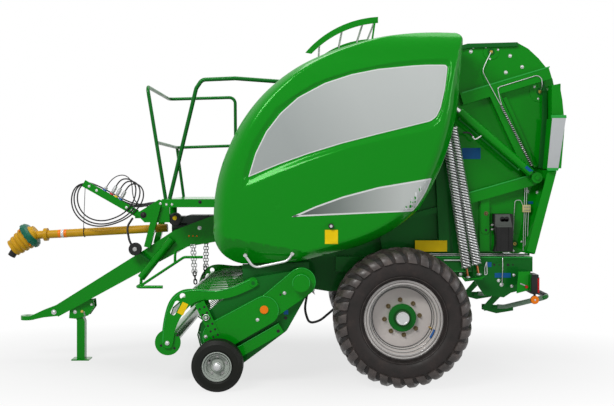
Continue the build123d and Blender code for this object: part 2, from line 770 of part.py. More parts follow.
with BuildPart() as chains:
    for side, top, bottom in LIFT_CHAINS:
        start = Vector(top[0], -side * chain_y, top[1])
        run = Vector(bottom[0], -side * chain_y, bottom[1]) - start
        count = int(run.length // chain_pitch)
        for i in range(count):
            middle = start + run * ((i + 0.5) / count)
            flat = run.normalized().cross(Vector(0, 1, 0)) if i % 2 else Vector(0, 1, 0)
            link = Plane(origin=middle, x_dir=run.normalized(), z_dir=flat)
            with BuildSketch(link):
                SlotOverall(run.length / count + 2 * chain_wire_r, chain_link_width)
                SlotOverall(
                    run.length / count - chain_wire_r,
                    chain_link_width - 3 * chain_wire_r,
                    mode=Mode.SUBTRACT,
                )
            extrude(amount=chain_wire_r / 2, both=True)
keep("lift_chains", chains.part)

# ---------------------------------------------------------------- side doors

DOOR_MIDDLE = Vector(620, 1960)
DOOR_LAYERS = (  # (distance from the middle, share of the outline's size taken off)
    (door_rim_y, 0),
    (1040, 0),
    (1120, 0.05),
    (1164, 0.14),
)


def door_outline(shrink):
    """Adds the door's outline, drawn in towards its middle, to the sketch being drawn."""

    def at(x, z):
        point = Vector(x, z)
        point += (DOOR_MIDDLE - point) * shrink
        return (point.X, point.Y)

    with BuildLine() as edge:
        Polyline(at(1520, 2905), at(1584, 2890), at(1600, 2830), at(1561, 2336))
        ThreePointArc(at(1561, 2336), at(1460, 1900), at(1240, 1450))
        ThreePointArc(at(1240, 1450), at(960, 1240), at(584, 1100))
        Line(at(584, 1100), at(242, 1012))
        Line(at(242, 1012), at(-216, 993))
        ThreePointArc(at(-216, 993), at(-390, 1085), at(-454, 1316))
        ThreePointArc(at(-454, 1316), at(-430, 1650), at(-330, 1960))
        ThreePointArc(at(-330, 1960), at(-60, 2380), at(330, 2670))
        ThreePointArc(at(330, 2670), at(880, 2858), at(1520, 2905))
    make_face(edge.edges())


# Outlines of the two flat fields sunk into the door, (x, z)
LEAF_FIELD = (
    (-164, 1710), (314, 1898), (896, 2058), (1317, 2174), (1372, 2240), (1462, 2610), (1186, 2624), (896, 2595),
    (678, 2551), (461, 2479), (243, 2362), (98, 2232), (-19, 2087), (-105, 1913),
)  # fmt: skip
WEDGE_FIELD = ((193, 1391), (1177, 1432), (1328, 1702), (895, 1629), (605, 1550), (387, 1471))
field_depth = 7

DOOR_BULGE = (  # the door's cross section: (distance from the middle, height)
    (door_rim_y, 950),
    (980, 950),
    (1140, 1190),
    (1162, 1900),
    (1140, 2450),
    (1050, 2860),
    (1000, 2920),
    (door_rim_y, 2920),
)


def door_form(side, inset):
    """The door's outer form, or its hollow when an inset is given."""
    sections = []
    for y, shrink in DOOR_LAYERS:
        with BuildSketch(side_plane(side, y - inset)) as section:
            door_outline(shrink + inset / 900)
        sections.append(section.sketch)
    with BuildPart() as made:
        loft(sections, ruled=True)
        with BuildSketch(Plane.YZ.offset(-500)):
            face_through([(-side * max(door_rim_y - inset - 1, y - inset), z) for y, z in DOOR_BULGE])
        extrude(amount=2200, mode=Mode.INTERSECT)
    return made.part


def door_fields(side):
    """What is taken out of the door's skin for its sunk fields."""
    with BuildPart() as made:
        for outline in (LEAF_FIELD, WEDGE_FIELD):
            plate(side, door_rim_y + 100, 300, outline)
        add(door_form(side, field_depth), mode=Mode.SUBTRACT)
    return made.part


def door(side):
    with BuildPart() as made:
        add(door_form(side, 0))
        add(door_fields(side), mode=Mode.SUBTRACT)
        add(door_form(side, door_wall), mode=Mode.SUBTRACT)
        # Grab handle in front of the skin's lower edge
        handle_y = -side * door_handle_y
        tube([(-172, handle_y, 1084), (-107, handle_y, 985), (96, handle_y, 1010), (185, handle_y, 1092)], 12, 50)
        for x, z in ((-172, 1084), (185, 1092)):
            pin(x, z, 16, door_handle_y + 15, -door_handle_reach, side)
        # Hinge lugs
        for x, skin_z in door_hinges:
            with BuildSketch(Plane.YZ.offset(x)):
                with Locations((-side * door_hinge_y, door_hinge_z)):
                    Circle(20)
                with Locations((-side * (door_rim_y + 30), skin_z)):
                    Circle(14)
                make_hull()
                with Locations((-side * door_hinge_y, door_hinge_z)):
                    Circle(door_pin_r + PIN_GAP, mode=Mode.SUBTRACT)
            extrude(amount=12)
    return made.part


for side_name, side in SIDES:
    keep(f"door_{side_name}", door(side))

# ---------------------------------------------------------------- tailgate

GATE_PLATE = (
    (split_x, 2840), (1700, 2868), (2131, 2880), (2230, 2825), (2320, 2740), (2394, 2650), (2440, 2560),
    (2452, 2500), (2396, 2470), (2396, 2212), (2361, 1784), (2176, 1061), (1640, 1061), (split_x, 1500),
)  # fmt: skip
GATE_BEAMS = (  # (start, end, height)
    ((1640, 2385), (2400, 2610), 106),
    ((1924, 2420), (2206, 1800), 88),
    ((1694, 1530), (2290, 1700), 96),
)
CHOCK = ((1914, 1074), (2076, 1074), (2076, 1397), (1914, 1397), (1914, 1300), (1932, 1200), (1932, 1130))
WING = (  # the rear wing: (height, where its inner edge stands)
    (2500, 2396),
    (2212, 2396),
    (1784, 2361),
    (1061, 2176),
)

for side_name, side in SIDES:
    with BuildPart() as gate:
        plate(side, gate_y, PLATE, GATE_PLATE)
        for start, end, height in GATE_BEAMS:
            beam(side, gate_outer_y, gate_beam_depth, start, end, height)
        # Slotted bar of the tailgate's latch
        beam(side, gate_outer_y, 30, (1845, 1075), (1845, 1560), 86)
        with BuildSketch(side_plane(side, gate_outer_y)) as slot:
            with Locations((1845, 1440)):
                SlotOverall(180, 34, rotation=90)
        extrude(slot.sketch, amount=side * 31, dir=(0, -1, 0), mode=Mode.SUBTRACT)
        pin(pivot_x, pivot_z, 90, gate_y, PLATE, side)
        # Cylinder pin
        pin(*ram_gate, ram_pin_r, gate_outer_y, ram_y + 34 - gate_outer_y, side)
        pin(*ram_gate, 52, gate_outer_y, ram_y - 28 - gate_outer_y, side)
        pin(pivot_x, pivot_z, pivot_r + PIN_GAP, gate_y - 1, 60, side, mode=Mode.SUBTRACT)
    keep(f"tailgate_{side_name}", gate.part)

with BuildPart() as wings:
    for _, side in SIDES:
        for (z0, x0), (z1, x1) in zip(WING, WING[1:]):
            for z, x in ((z1, x1), (z0, x0)):
                with BuildSketch(Plane.XY.offset(z)):
                    inner, outer = -side * gate_outer_y, -side * (gate_outer_y + 200)
                    face_through([(x, inner), (x + PLATE, inner), (x + 48 + PLATE, outer), (x + 48, outer)])
            loft(ruled=True)
        # Plain board on the wing
        for z, x in ((1784, 2361), (2212, 2396)):
            with BuildSketch(Plane.XY.offset(z)):
                inner, outer = -side * (gate_outer_y + 10), -side * (gate_outer_y + 250)
                face_through([(x - 14, inner), (x + 24, inner), (x + 84, outer), (x + 46, outer)])
        loft(ruled=True)
keep("tailgate_wings", wings.part)

with BuildPart() as chock:
    # Wheel chock carried on the left of the tailgate
    plate(1, gate_outer_y, 90, CHOCK)
    box((1950, -gate_outer_y - 70, 1300), (2050, -gate_outer_y - 20, 1400), mode=Mode.SUBTRACT)
keep("wheel_chock", chock.part)

with BuildPart() as gate_cross:
    for x, z in ((2110, 2180), (2080, 1560)):
        across(x, z, 50, gate_y)
keep("tailgate_cross_tubes", gate_cross.part)

with BuildPart() as gate_rollers:
    for x, z in GATE_ROLLERS:
        across(x, z, roller_r, gate_y)
keep("tailgate_rollers", gate_rollers.part)
keep("tailgate_belts", belts(GATE_ROLLERS))

# ---------------------------------------------------------------- tension springs and cylinders

SPRINGS = (  # (top, bottom) of each coil body
    ((1500, 2060), (1670, 946)),
    ((1553, 2130), (1758, 973)),
)

with BuildPart() as springs:
    for _, side in SIDES:
        for top, bottom in SPRINGS:
            a = Vector(top[0], -side * spring_y, top[1])
            b = Vector(bottom[0], -side * spring_y, bottom[1])
            down = (b - a).normalized()
            for start, end, r in (
                (a, b, spring_r),
                (b, b + down * 92, spring_rod_r),
                (a, a - down * 70, spring_rod_r),
            ):
                with BuildSketch(Plane(origin=start, z_dir=end - start)):
                    Circle(r)
                extrude(amount=(end - start).length)
keep("tension_springs", springs.part)

ram_start = Vector(ram_gate[0], 0, ram_gate[1])
ram_end = Vector(ram_chassis[0], 0, ram_chassis[1])
ram_line = (ram_end - ram_start).normalized()
ram_length = (ram_end - ram_start).length

for side_name, side in SIDES:
    middle = Vector(0, -side * ram_y, 0)
    with BuildPart() as barrel:
        with BuildSketch(Plane(origin=ram_start + middle + ram_line * (ram_eye_r + 16), z_dir=ram_line)):
            Circle(barrel_r)
        extrude(amount=barrel_length - ram_eye_r - 16)
        with BuildSketch(Plane(origin=ram_start + middle, z_dir=ram_line)):
            Circle(22)
        extrude(amount=ram_eye_r + 20)
        pin(*ram_gate, ram_eye_r, ram_y - 24, 48, side)
        pin(*ram_gate, ram_pin_r + PIN_GAP, ram_y - 50, 100, side, mode=Mode.SUBTRACT)
        bore_start = ram_start + middle + ram_line * (ram_eye_r + 60)
        with BuildSketch(Plane(origin=bore_start, z_dir=ram_line)):
            Circle(rod_r + PIN_GAP)
        extrude(amount=barrel_length, mode=Mode.SUBTRACT)
    keep(f"ram_barrel_{side_name}", barrel.part)
    with BuildPart() as rod:
        rod_start = bore_start + ram_line * 20
        with BuildSketch(Plane(origin=rod_start, z_dir=ram_line)):
            Circle(rod_r)
        extrude(amount=(ram_end + middle - rod_start).length - 20)
        pin(*ram_chassis, ram_eye_r - 8, ram_y - 20, 40, side)
    keep(f"ram_rod_{side_name}", rod.part)

# ---------------------------------------------------------------- pickup

PICKUP_CIRCLES = (  # side plate outline wraps round these: (x, z, radius)
    (rotor_x, rotor_z, 95),
    (reel_x, reel_z, 168),
    (guard_x, guard_z, 42),
    (*guard_stop, 28),
    (100, 490, 62),
    (*reel_bar, 26),
)

with BuildPart() as pickup_frame:
    for _, side in SIDES:
        hull_plate(side, pickup_y, pickup_plate, PICKUP_CIRCLES)
        pin(guard_x, guard_z, guard_pin_r, pickup_y + pickup_plate, 26, side)
    pin(rotor_x, rotor_z, pivot_tube_r + PIN_GAP, pickup_y - 1, 40, 1, mode=Mode.SUBTRACT)
    pin(rotor_x, rotor_z, pivot_tube_r + PIN_GAP, pickup_y - 1, 40, -1, mode=Mode.SUBTRACT)
    across(-60, 420, 45, pickup_y)
    # Sheet that leads the crop from the reel to the rotor
    plate(1, pickup_y, -2 * pickup_y, [(-196, 576), (20, 700), (24, 692), (-190, 566)])
    # Round housing of the reel's cam on the right side
    pin(reel_x, reel_z, 125, pickup_y + pickup_plate, 46, -1)
keep("pickup_frame", pickup_frame.part)

BAND_ANGLES = (262, 235, 208, 180, 152, 124, 98)
with BuildPart() as bands:
    across(*reel_bar, reel_rod_r, pickup_y)
    outer = [(band_r, a) for a in BAND_ANGLES]
    round_part = [(reel_x + r * cos(radians(a)), reel_z + r * sin(radians(a))) for r, a in outer]
    inner = [(r - band_thick, a) for r, a in outer]
    thin = [(reel_x + r * cos(radians(a)), reel_z + r * sin(radians(a))) for r, a in inner]
    start = (reel_bar[0] - 6, reel_bar[1] + 8)
    profile = [start] + round_part + [(-196, 581), (-196, 576)] + thin[::-1] + [(start[0], start[1] + 6)]
    for i in range(band_count):
        y = (i - (band_count - 1) / 2) * band_pitch
        with BuildSketch(Plane.XZ.offset(y - band_width / 2)):
            face_through(profile)
        extrude(amount=band_width)
keep("pickup_bands", bands.part)

with BuildPart() as reel:
    reel_half = pickup_y - 14
    across(reel_x, reel_z, reel_tube_r, reel_half)
    for y in (-reel_half, 0, reel_half - 8):
        with BuildSketch(Plane.XZ.offset(y)):
            with Locations((reel_x, reel_z)):
                RegularPolygon(reel_bar_circle + 22, reel_bar_count)
        extrude(amount=8)
    for k in range(reel_bar_count):
        angle = k * 360 / reel_bar_count
        x = reel_x + reel_bar_circle * cos(radians(angle))
        z = reel_z + reel_bar_circle * sin(radians(angle))
        across(x, z, reel_bar_r, reel_half)
        for i in range(band_count - 1):
            y = (i + 0.5 - (band_count - 1) / 2) * band_pitch
            out = Vector(cos(radians(angle)), 0, sin(radians(angle)))
            with BuildSketch(Plane(origin=Vector(x, -y, z), x_dir=(0, 1, 0), z_dir=out)):
                Rectangle(8, 8)
            extrude(amount=reel_tip_r - reel_bar_circle)
keep("pickup_reel", reel.part)

with BuildPart() as covers:
    start = pickup_y + pickup_plate
    hull_plate(1, start, cover_depth - 20, [(rotor_x, rotor_z, 118), (-32, 625, 100)])
    hull_plate(1, start, cover_depth, [(-32, 625, 118), (reel_x - 10, reel_z + 10, 125)])
    pin(rotor_x, rotor_z, 72, start, 128)
    pin(rotor_x, rotor_z, pivot_tube_r + PIN_GAP, start - 1, pivot_tube_end - start + 8, mode=Mode.SUBTRACT)
keep("pickup_drive_cover", covers.part)

ADJUSTER = ((-340, 240), (-560, 690))  # lower and upper end of the adjusting plate
adjuster_holes = 9

with BuildPart() as gauge_arms:
    for _, side in SIDES:
        start = pickup_y + pickup_plate
        beam(side, start, 60, (105, 480), (-330, 231), 84)
        plate(side, start, 60, [(-300, 200), (-340, 262), (-400, 240), (-430, 205), (-400, 175)])
        # Adjusting plate with its rows of holes
        beam(side, start + cover_depth + 2, 8, ADJUSTER[0], ADJUSTER[1], 82)
        for i in range(adjuster_holes):
            share = (i + 1) / (adjuster_holes + 1)
            hole_x = ADJUSTER[0][0] + share * (ADJUSTER[1][0] - ADJUSTER[0][0])
            hole_z = ADJUSTER[0][1] + share * (ADJUSTER[1][1] - ADJUSTER[0][1])
            for shift in (-18, 18):
                pin(hole_x + shift, hole_z + shift / 2, 9, start + cover_depth, 14, side, mode=Mode.SUBTRACT)
        pin(-350, 250, 28, start + 60, cover_depth - 50, side)
        pin(*guard_stop, 12, start, cover_depth + 16, side)
        pin(gauge_x, gauge_r, gauge_spindle_r, start + 60, gauge_y + 40 - start - 60, side)
keep("gauge_arms", gauge_arms.part)


def gauge_tyre(side):
    w = gauge_width / 2
    with BuildPart() as made:
        turned(
            axle_plane(gauge_x, -side * gauge_y, gauge_r, side),
            [
                (w - 24, gauge_rim_r), (w, gauge_rim_r + 34), (w - 4, gauge_r - 30), (w - 26, gauge_r),
                (-w + 26, gauge_r), (-w + 4, gauge_r - 30), (-w, gauge_rim_r + 34), (-w + 24, gauge_rim_r),
            ],
        )  # fmt: skip
    return made.part


def gauge_rim(side):
    w = gauge_rim_width / 2
    bore = gauge_spindle_r + PIN_GAP
    with BuildPart() as made:
        turned(
            axle_plane(gauge_x, -side * gauge_y, gauge_r, side),
            [
                (w, gauge_rim_r), (-w, gauge_rim_r), (-w, gauge_rim_r - 10), (-6, gauge_rim_r - 18),
                (-6, gauge_hub_r), (-w - 14, gauge_hub_r), (-w - 14, bore), (w - 14, bore), (w - 14, 0), (w + 8, 0),
                (w + 8, gauge_hub_r - 8), (w - 4, gauge_hub_r), (6, gauge_hub_r), (6, gauge_rim_r - 22),
                (w, gauge_rim_r - 8),
            ],
        )  # fmt: skip
    return made.part


for side_name, side in SIDES:
    keep(f"gauge_tyre_{side_name}", gauge_tyre(side))
    keep(f"gauge_rim_{side_name}", gauge_rim(side))

# ---------------------------------------------------------------- windguard

GUARD_ARM = (
    (-100, 815), (-90, 850), (-105, 880), (-150, 884), (-290, 815), (-432, 780), (-640, 795), (-740, 770),
    (-810, 700), (-850, 590), (-874, 440), (-876, 352), (-850, 312), (-806, 312), (-784, 352), (-765, 460),
    (-715, 570), (-640, 660), (-560, 700), (-432, 705), (-280, 735),
)  # fmt: skip

GUARD_SHEET = ((-714, 704), (-790, 640), (-815, 560), (-807, 558), (-782, 634), (-708, 694))
GUARD_TINE = ((-702, 718), (-640, 742), (-560, 764), (-250, 756), (-250, 746), (-560, 750), (-640, 724), (-690, 696))

with BuildPart() as windguard:
    for _, side in SIDES:
        plate(side, guard_y, guard_plate, GUARD_ARM)
        pin(guard_x, guard_z, guard_pin_r + PIN_GAP, guard_y - 1, guard_plate + 2, side, mode=Mode.SUBTRACT)
        pin(crop_roller_x, crop_roller_z, 14 + PIN_GAP, guard_y - 1, guard_plate + 2, side, mode=Mode.SUBTRACT)
    across(*guard_tube, guard_tube_r, guard_y)
    plate(1, guard_y - 20, -2 * guard_y + 40, GUARD_SHEET)
    for i in range(guard_tine_count):
        y = (i - (guard_tine_count - 1) / 2) * guard_tine_pitch
        with BuildSketch(Plane.XZ.offset(y)):
            face_through(GUARD_TINE)
        extrude(amount=5, both=True)
keep("windguard", windguard.part)

with BuildPart() as crop_roller:
    across(crop_roller_x, crop_roller_z, crop_roller_r, guard_y - 8)
    across(crop_roller_x, crop_roller_z, 14, guard_y + guard_plate + 8)
    for _, side in SIDES:
        pin(crop_roller_x, crop_roller_z, crop_disc_r, guard_y - 16, 8, side)
keep("crop_roller", crop_roller.part)

# ---------------------------------------------------------------- bale kicker

kicker_frame = kicker_y - 16
with BuildPart() as kicker:
    for _, side in SIDES:
        plate(side, kicker_frame, 16, [(1862, 540), (1990, 505), (2140, 530), (2140, 560), (1990, 575), (1862, 588)])
        pin(*kicker_pivot, 28, kicker_frame, 16, side)
    tube(
        [
            (1960, -kicker_frame, 560), (2060, -kicker_frame, 556), (2452, -kicker_frame, 650),
            (2452, kicker_frame, 650), (2060, kicker_frame, 556), (1960, kicker_frame, 560),
        ],
        20,
        56,
    )  # fmt: skip
    for _, side in SIDES:
        pin(*kicker_pivot, kicker_pin_r + PIN_GAP, kicker_frame - 30, 80, side, mode=Mode.SUBTRACT)
keep("bale_kicker", kicker.part)

# ---------------------------------------------------------------- write the parts

os.makedirs("parts", exist_ok=True)
for name, made in parts.items():
    export_step(made, f"parts/{name}.step")
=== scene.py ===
"""Round baler: finishes, cords, doors, tyres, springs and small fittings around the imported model.

Metres. +X points to the rear, -Y to the machine's left side (the side seen here), +Z up.
"""

import math

import bmesh
import bpy
import numpy as np
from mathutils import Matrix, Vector
from mathutils.geometry import delaunay_2d_cdt, tessellate_polygon


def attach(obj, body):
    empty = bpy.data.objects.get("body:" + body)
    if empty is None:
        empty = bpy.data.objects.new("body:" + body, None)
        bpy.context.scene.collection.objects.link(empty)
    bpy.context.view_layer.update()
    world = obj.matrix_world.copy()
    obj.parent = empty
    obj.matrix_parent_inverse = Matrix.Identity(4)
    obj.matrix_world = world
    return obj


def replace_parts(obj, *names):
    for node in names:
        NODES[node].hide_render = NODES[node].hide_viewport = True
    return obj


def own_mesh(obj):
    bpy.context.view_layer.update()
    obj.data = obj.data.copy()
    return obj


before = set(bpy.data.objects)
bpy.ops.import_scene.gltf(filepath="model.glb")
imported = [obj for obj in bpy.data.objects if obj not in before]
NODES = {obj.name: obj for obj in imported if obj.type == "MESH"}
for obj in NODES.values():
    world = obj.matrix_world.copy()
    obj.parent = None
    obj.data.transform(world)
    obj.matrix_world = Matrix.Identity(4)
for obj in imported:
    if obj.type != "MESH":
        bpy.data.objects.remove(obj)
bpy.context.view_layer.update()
SIDES = (("left", 1), ("right", -1))
BOTH, LEFT = (1, -1), (1,)

# ---------------------------------------------------------------- camera

CAMERA_PLACE = (0.355, -8.4, 1.67)
CAMERA_FOCAL_PX, IMAGE_WIDTH = 892, 614
SHIFT_PX = (-5, -21)

camera_data = bpy.data.cameras.new("camera")
camera_data.sensor_width = 36
camera_data.lens = 36 * CAMERA_FOCAL_PX / IMAGE_WIDTH
camera_data.shift_x = SHIFT_PX[0] / IMAGE_WIDTH
camera_data.shift_y = SHIFT_PX[1] / IMAGE_WIDTH
camera = bpy.data.objects.new("camera", camera_data)
camera.location = CAMERA_PLACE
camera.rotation_euler = (math.radians(90), 0, 0)
bpy.context.scene.collection.objects.link(camera)
bpy.context.scene.camera = camera

# ---------------------------------------------------------------- materials


class Tree:
    """A node tree under construction."""

    def __init__(self, owner):
        owner.use_nodes = True
        self.nodes = owner.node_tree.nodes
        self.links = owner.node_tree.links

    def add(self, kind, **inputs):
        """A new shader node with its named inputs set."""
        return self.set(self.nodes.new("ShaderNode" + kind), **inputs)

    def set(self, node, **inputs):
        for key, value in inputs.items():
            node.inputs[key.replace("_", " ")].default_value = value
        return node

    def link(self, output, socket):
        self.links.new(output, socket)

    def maths(self, operation, *values):
        """The result of an operation on sockets and plain numbers."""
        node = self.add("Math")
        node.operation = operation
        for socket, value in zip(node.inputs, values):
            if isinstance(value, float):
                socket.default_value = value
            else:
                self.link(value, socket)
        return node.outputs[0]


class Shader(Tree):
    """A material under construction."""

    def __init__(self, name):
        self.material = bpy.data.materials.new(name)
        super().__init__(self.material)
        self.bsdf = self.nodes["Principled BSDF"]
        self.place = self.add("TexCoord").outputs["Object"]

    def feed(self, key, output):
        self.link(output, self.bsdf.inputs[key])

    def noise(self, scale, detail=3.0, rough=0.5):
        texture = self.add("TexNoise", Scale=scale, Detail=detail, Roughness=rough)
        self.link(self.place, texture.inputs["Vector"])
        return texture.outputs["Fac"]

    def ramp(self, value, stops):
        node = self.add("ValToRGB")
        elements = node.color_ramp.elements
        elements[0].position, elements[0].color = stops[0][0], (*stops[0][1], 1)
        elements[1].position, elements[1].color = stops[-1][0], (*stops[-1][1], 1)
        for position, color in stops[1:-1]:
            elements.new(position).color = (*color, 1)
        self.link(value, node.inputs["Fac"])
        return node.outputs["Color"]

    def remap(self, value, low, high, to_low, to_high):
        node = self.add("MapRange", From_Min=low, From_Max=high, To_Min=to_low, To_Max=to_high)
        self.link(value, node.inputs["Value"])
        return node.outputs["Result"]

    def mix(self, factor, a, b):
        """A blend of two colours."""
        node = self.add("Mix")
        node.data_type = "RGBA"
        self.link(factor, node.inputs["Factor"])
        node.inputs[6].default_value, node.inputs[7].default_value = (*a, 1), (*b, 1)
        return node.outputs[2]

    def bump(self, height, strength, distance):
        node = self.add("Bump", Strength=strength, Distance=distance)
        self.link(height, node.inputs["Height"])
        self.feed("Normal", node.outputs["Normal"])


def paint(name, color, gloss, dust, coat):
    """Sprayed gloss paint: slight orange peel, and a thin dull film in patches."""
    shader = Shader(name)
    dull = tuple(c * 0.8 + 0.012 for c in color)
    film = shader.noise(7, 5, 0.62)
    patches = shader.remap(film, 0.42, 0.75, 0, dust)
    shader.feed("Base Color", shader.mix(patches, color, dull))
    shader.feed("Roughness", shader.remap(film, 0.35, 0.8, gloss, gloss + 0.16))
    shine = tuple(min(1, 0.1 + 0.9 * c / max(color)) for c in color)
    shader.set(shader.bsdf, Coat_Weight=coat, Coat_Roughness=0.05)
    shader.set(shader.bsdf, Specular_IOR_Level=0.3, Specular_Tint=(*shine, 1))
    shader.bump(shader.noise(260, 2, 0.5), 0.02, 0.0006)
    return shader.material


def metal(name, color, rough):
    """Plated or bare metal with a fine grain and cloudy staining."""
    shader = Shader(name)
    cloud = shader.noise(5, 4, 0.6)
    dark = tuple(c * 0.72 for c in color)
    shader.feed("Base Color", shader.ramp(cloud, ((0.3, dark), (0.7, color))))
    grain = shader.noise(60, 3, 0.55)
    shader.feed("Roughness", shader.remap(grain, 0.3, 0.7, rough - 0.08, rough + 0.12))
    shader.set(shader.bsdf, Metallic=0.9)
    shader.bump(grain, 0.06, 0.0006)
    return shader.material


def plastic(name, color, rough, grain=0.08):
    """Moulded plastic or plain rubber with a fine grain."""
    shader = Shader(name)
    cloud = shader.noise(9, 3, 0.5)
    light = tuple(min(1, c * 1.12 + 0.006) for c in color)
    shader.feed("Base Color", shader.ramp(cloud, ((0.35, color), (0.7, light))))
    shader.feed("Roughness", shader.remap(cloud, 0.3, 0.7, rough - 0.05, rough + 0.08))
    shader.set(shader.bsdf, Specular_IOR_Level=0.22)
    shader.bump(shader.noise(420, 2, 0.5), grain, 0.0005)
    return shader.material


def tyre_rubber(name, tones, rough, shine=0.5):
    """Brown-black rubber with dried soil in its hollows and a faint sheen."""
    shader = Shader(name)
    soil = shader.noise(11, 6, 0.65)
    shader.feed("Base Color", shader.ramp(soil, tuple(zip((0.36, 0.58, 0.78), tones))))
    shader.feed("Roughness", shader.remap(soil, 0.3, 0.75, rough, rough + 0.34))
    shader.set(shader.bsdf, Specular_IOR_Level=shine)
    shader.bump(shader.noise(190, 4, 0.6), 0.22, 0.0012)
    return shader.material


def fading(name, start, end, slant, stops):
    """A satin film whose grey fades along the machine, and with height by the slant."""
    shader = Shader(name)
    split = shader.add("SeparateXYZ")
    shader.link(shader.place, split.inputs["Vector"])
    blend = shader.maths("MULTIPLY_ADD", split.outputs["Z"], slant, split.outputs["X"])
    shader.feed("Base Color", shader.ramp(shader.remap(blend, start, end, 0, 1), stops))
    shader.set(shader.bsdf, Roughness=0.32, Specular_IOR_Level=0.35)
    shader.bump(shader.noise(300, 2), 0.02, 0.0005)
    return shader.material


PAINTS = {  # finish: (record slot, colour, roughness, dust, clear coat)
    "green": ("green_paint", (0.001, 0.25, 0.005), 0.15, 0.12, 0.2),
    "deep_green": ("dark_green_paint", (0.004, 0.12, 0.012), 0.26, 0.3, 0.12),
    "shade_green": ("dark_green_paint", (0.006, 0.105, 0.014), 0.36, 0.4, 0.1),
    # Very dark green for the hub's recess disc: painted shade
    "groove_green": ("dark_green_paint", (0.004, 0.045, 0.006), 0.4, 0.2, 0.1),
    # Lighter copy of the green for strips and tubes along edges: painted highlight
    "edge_green": ("green_paint", (0.02, 0.38, 0.05), 0.2, 0.1, 0.3),
    "pale_green": ("green_paint", (0.2, 0.3, 0.21), 0.35, 0.4, 0.1),
    "white": (None, (0.74, 0.76, 0.76), 0.3, 0.1, 0.3),
    "grey_panel": (None, (0.52, 0.54, 0.55), 0.35, 0.2, 0.2),
    "rim": ("rim_paint", (0.6, 0.555, 0.53), 0.3, 0.4, 0.3),
    # Bright and dark copies of the rim paint for rings on its steps: painted highlight and painted shade
    "rim_bright": ("rim_paint", (0.62, 0.61, 0.6), 0.2, 0.15, 0.5),
    "rim_groove": ("rim_paint", (0.1, 0.1, 0.1), 0.4, 0.3, 0.1),
    "gauge_rim": ("rim_paint", (0.38, 0.42, 0.38), 0.2, 0.2, 0.4),
    "iron": ("gearbox_iron", (0.03, 0.04, 0.035), 0.4, 0.5, 0.1),
}
METALS = {  # finish: (record slot, colour, roughness)
    "zinc": ("zinc", (0.62, 0.63, 0.63), 0.34),
    "steel": ("steel", (0.42, 0.42, 0.41), 0.42),
    "chrome": ("chrome_rod", (0.78, 0.78, 0.78), 0.12),
    "brass": ("zinc", (0.62, 0.42, 0.12), 0.3),
    "rust_nut": ("steel", (0.16, 0.12, 0.06), 0.5),
    "copper": ("steel", (0.42, 0.15, 0.06), 0.35),
    "spring_core": ("steel", (0.16, 0.17, 0.16), 0.5),
}
PLASTICS = {  # finish: (record slot, colour, roughness, depth of grain where it is coarse)
    "hose": ("black_rubber", (0.016, 0.016, 0.017), 0.42, 0.15),
    "belt": ("black_rubber", (0.03, 0.03, 0.03), 0.7, 0.3),
    "black": ("black_plastic", (0.01, 0.01, 0.01), 0.42),
    "guard": ("guard_plastic", (0.56, 0.3, 0.004), 0.4),
    "collar": ("guard_plastic", (0.002, 0.12, 0.07), 0.35),
    "orange": ("lamp_lens", (0.95, 0.21, 0.0), 0.25),
    "red": ("lamp_lens", (0.5, 0.008, 0.008), 0.18),
    "yellow_plate": ("guard_plastic", (0.9, 0.62, 0.0), 0.4),
    "blue_plate": ("black_plastic", (0.0, 0.09, 0.27), 0.4),
    "clip_blue": ("black_plastic", (0.0, 0.11, 0.4), 0.35),
    "clip_red": ("lamp_lens", (0.6, 0.02, 0.02), 0.35),
    "manifold": ("zinc", (0.72, 0.6, 0.3), 0.4),
    "speckled": ("black_plastic", (0.09, 0.1, 0.09), 0.55, 0.5),
}
TYRE_RUBBERS = {  # finish: (record slot, dark, middle and soiled tones, roughness, sheen)
    "tyre": ("tyre_rubber", ((0.009, 0.007, 0.006), (0.02, 0.015, 0.014), (0.05, 0.038, 0.033)), 0.42, 0.3),
    # Lighter copy of the rubber for the lugs and sidewall rings: painted light
    "tyre_lug": ("tyre_rubber", ((0.03, 0.024, 0.022), (0.065, 0.052, 0.048), (0.13, 0.104, 0.09)), 0.26),
    # Darker copy of the rubber for the gaps between the lugs: painted shade
    "tyre_groove": ("tyre_rubber", ((0.004, 0.003, 0.003), (0.008, 0.006, 0.006), (0.02, 0.016, 0.014)), 0.6),
    "tyre_black": (
        "tyre_rubber", ((0.001, 0.002, 0.001), (0.003, 0.004, 0.002), (0.01, 0.011, 0.008)), 0.4, 0.2,
    ),
}  # fmt: skip
FILMS = {  # finish: (record slot, start, end, slant, grey at each share of the way)
    "leaf": (
        None, 1.2, 2.6, 0.5,
        ((0, (0.36, 0.39, 0.385)), (0.5, (0.5, 0.53, 0.52)), (1, (0.56, 0.59, 0.58))),
    ),
    "wedge": (
        None, 0.3, 1.1, 0.0,
        ((0, (0.09, 0.11, 0.1)), (0.35, (0.2, 0.23, 0.215)), (1, (0.53, 0.56, 0.545))),
    ),
}  # fmt: skip
MAKERS = ((paint, PAINTS), (metal, METALS), (plastic, PLASTICS), (tyre_rubber, TYRE_RUBBERS), (fading, FILMS))
MATERIALS, SLOTS = {}, {}
for make, table in MAKERS:
    for finish, (record_slot, *values) in table.items():
        MATERIALS[finish] = make(finish, *values)
        SLOTS[finish] = record_slot

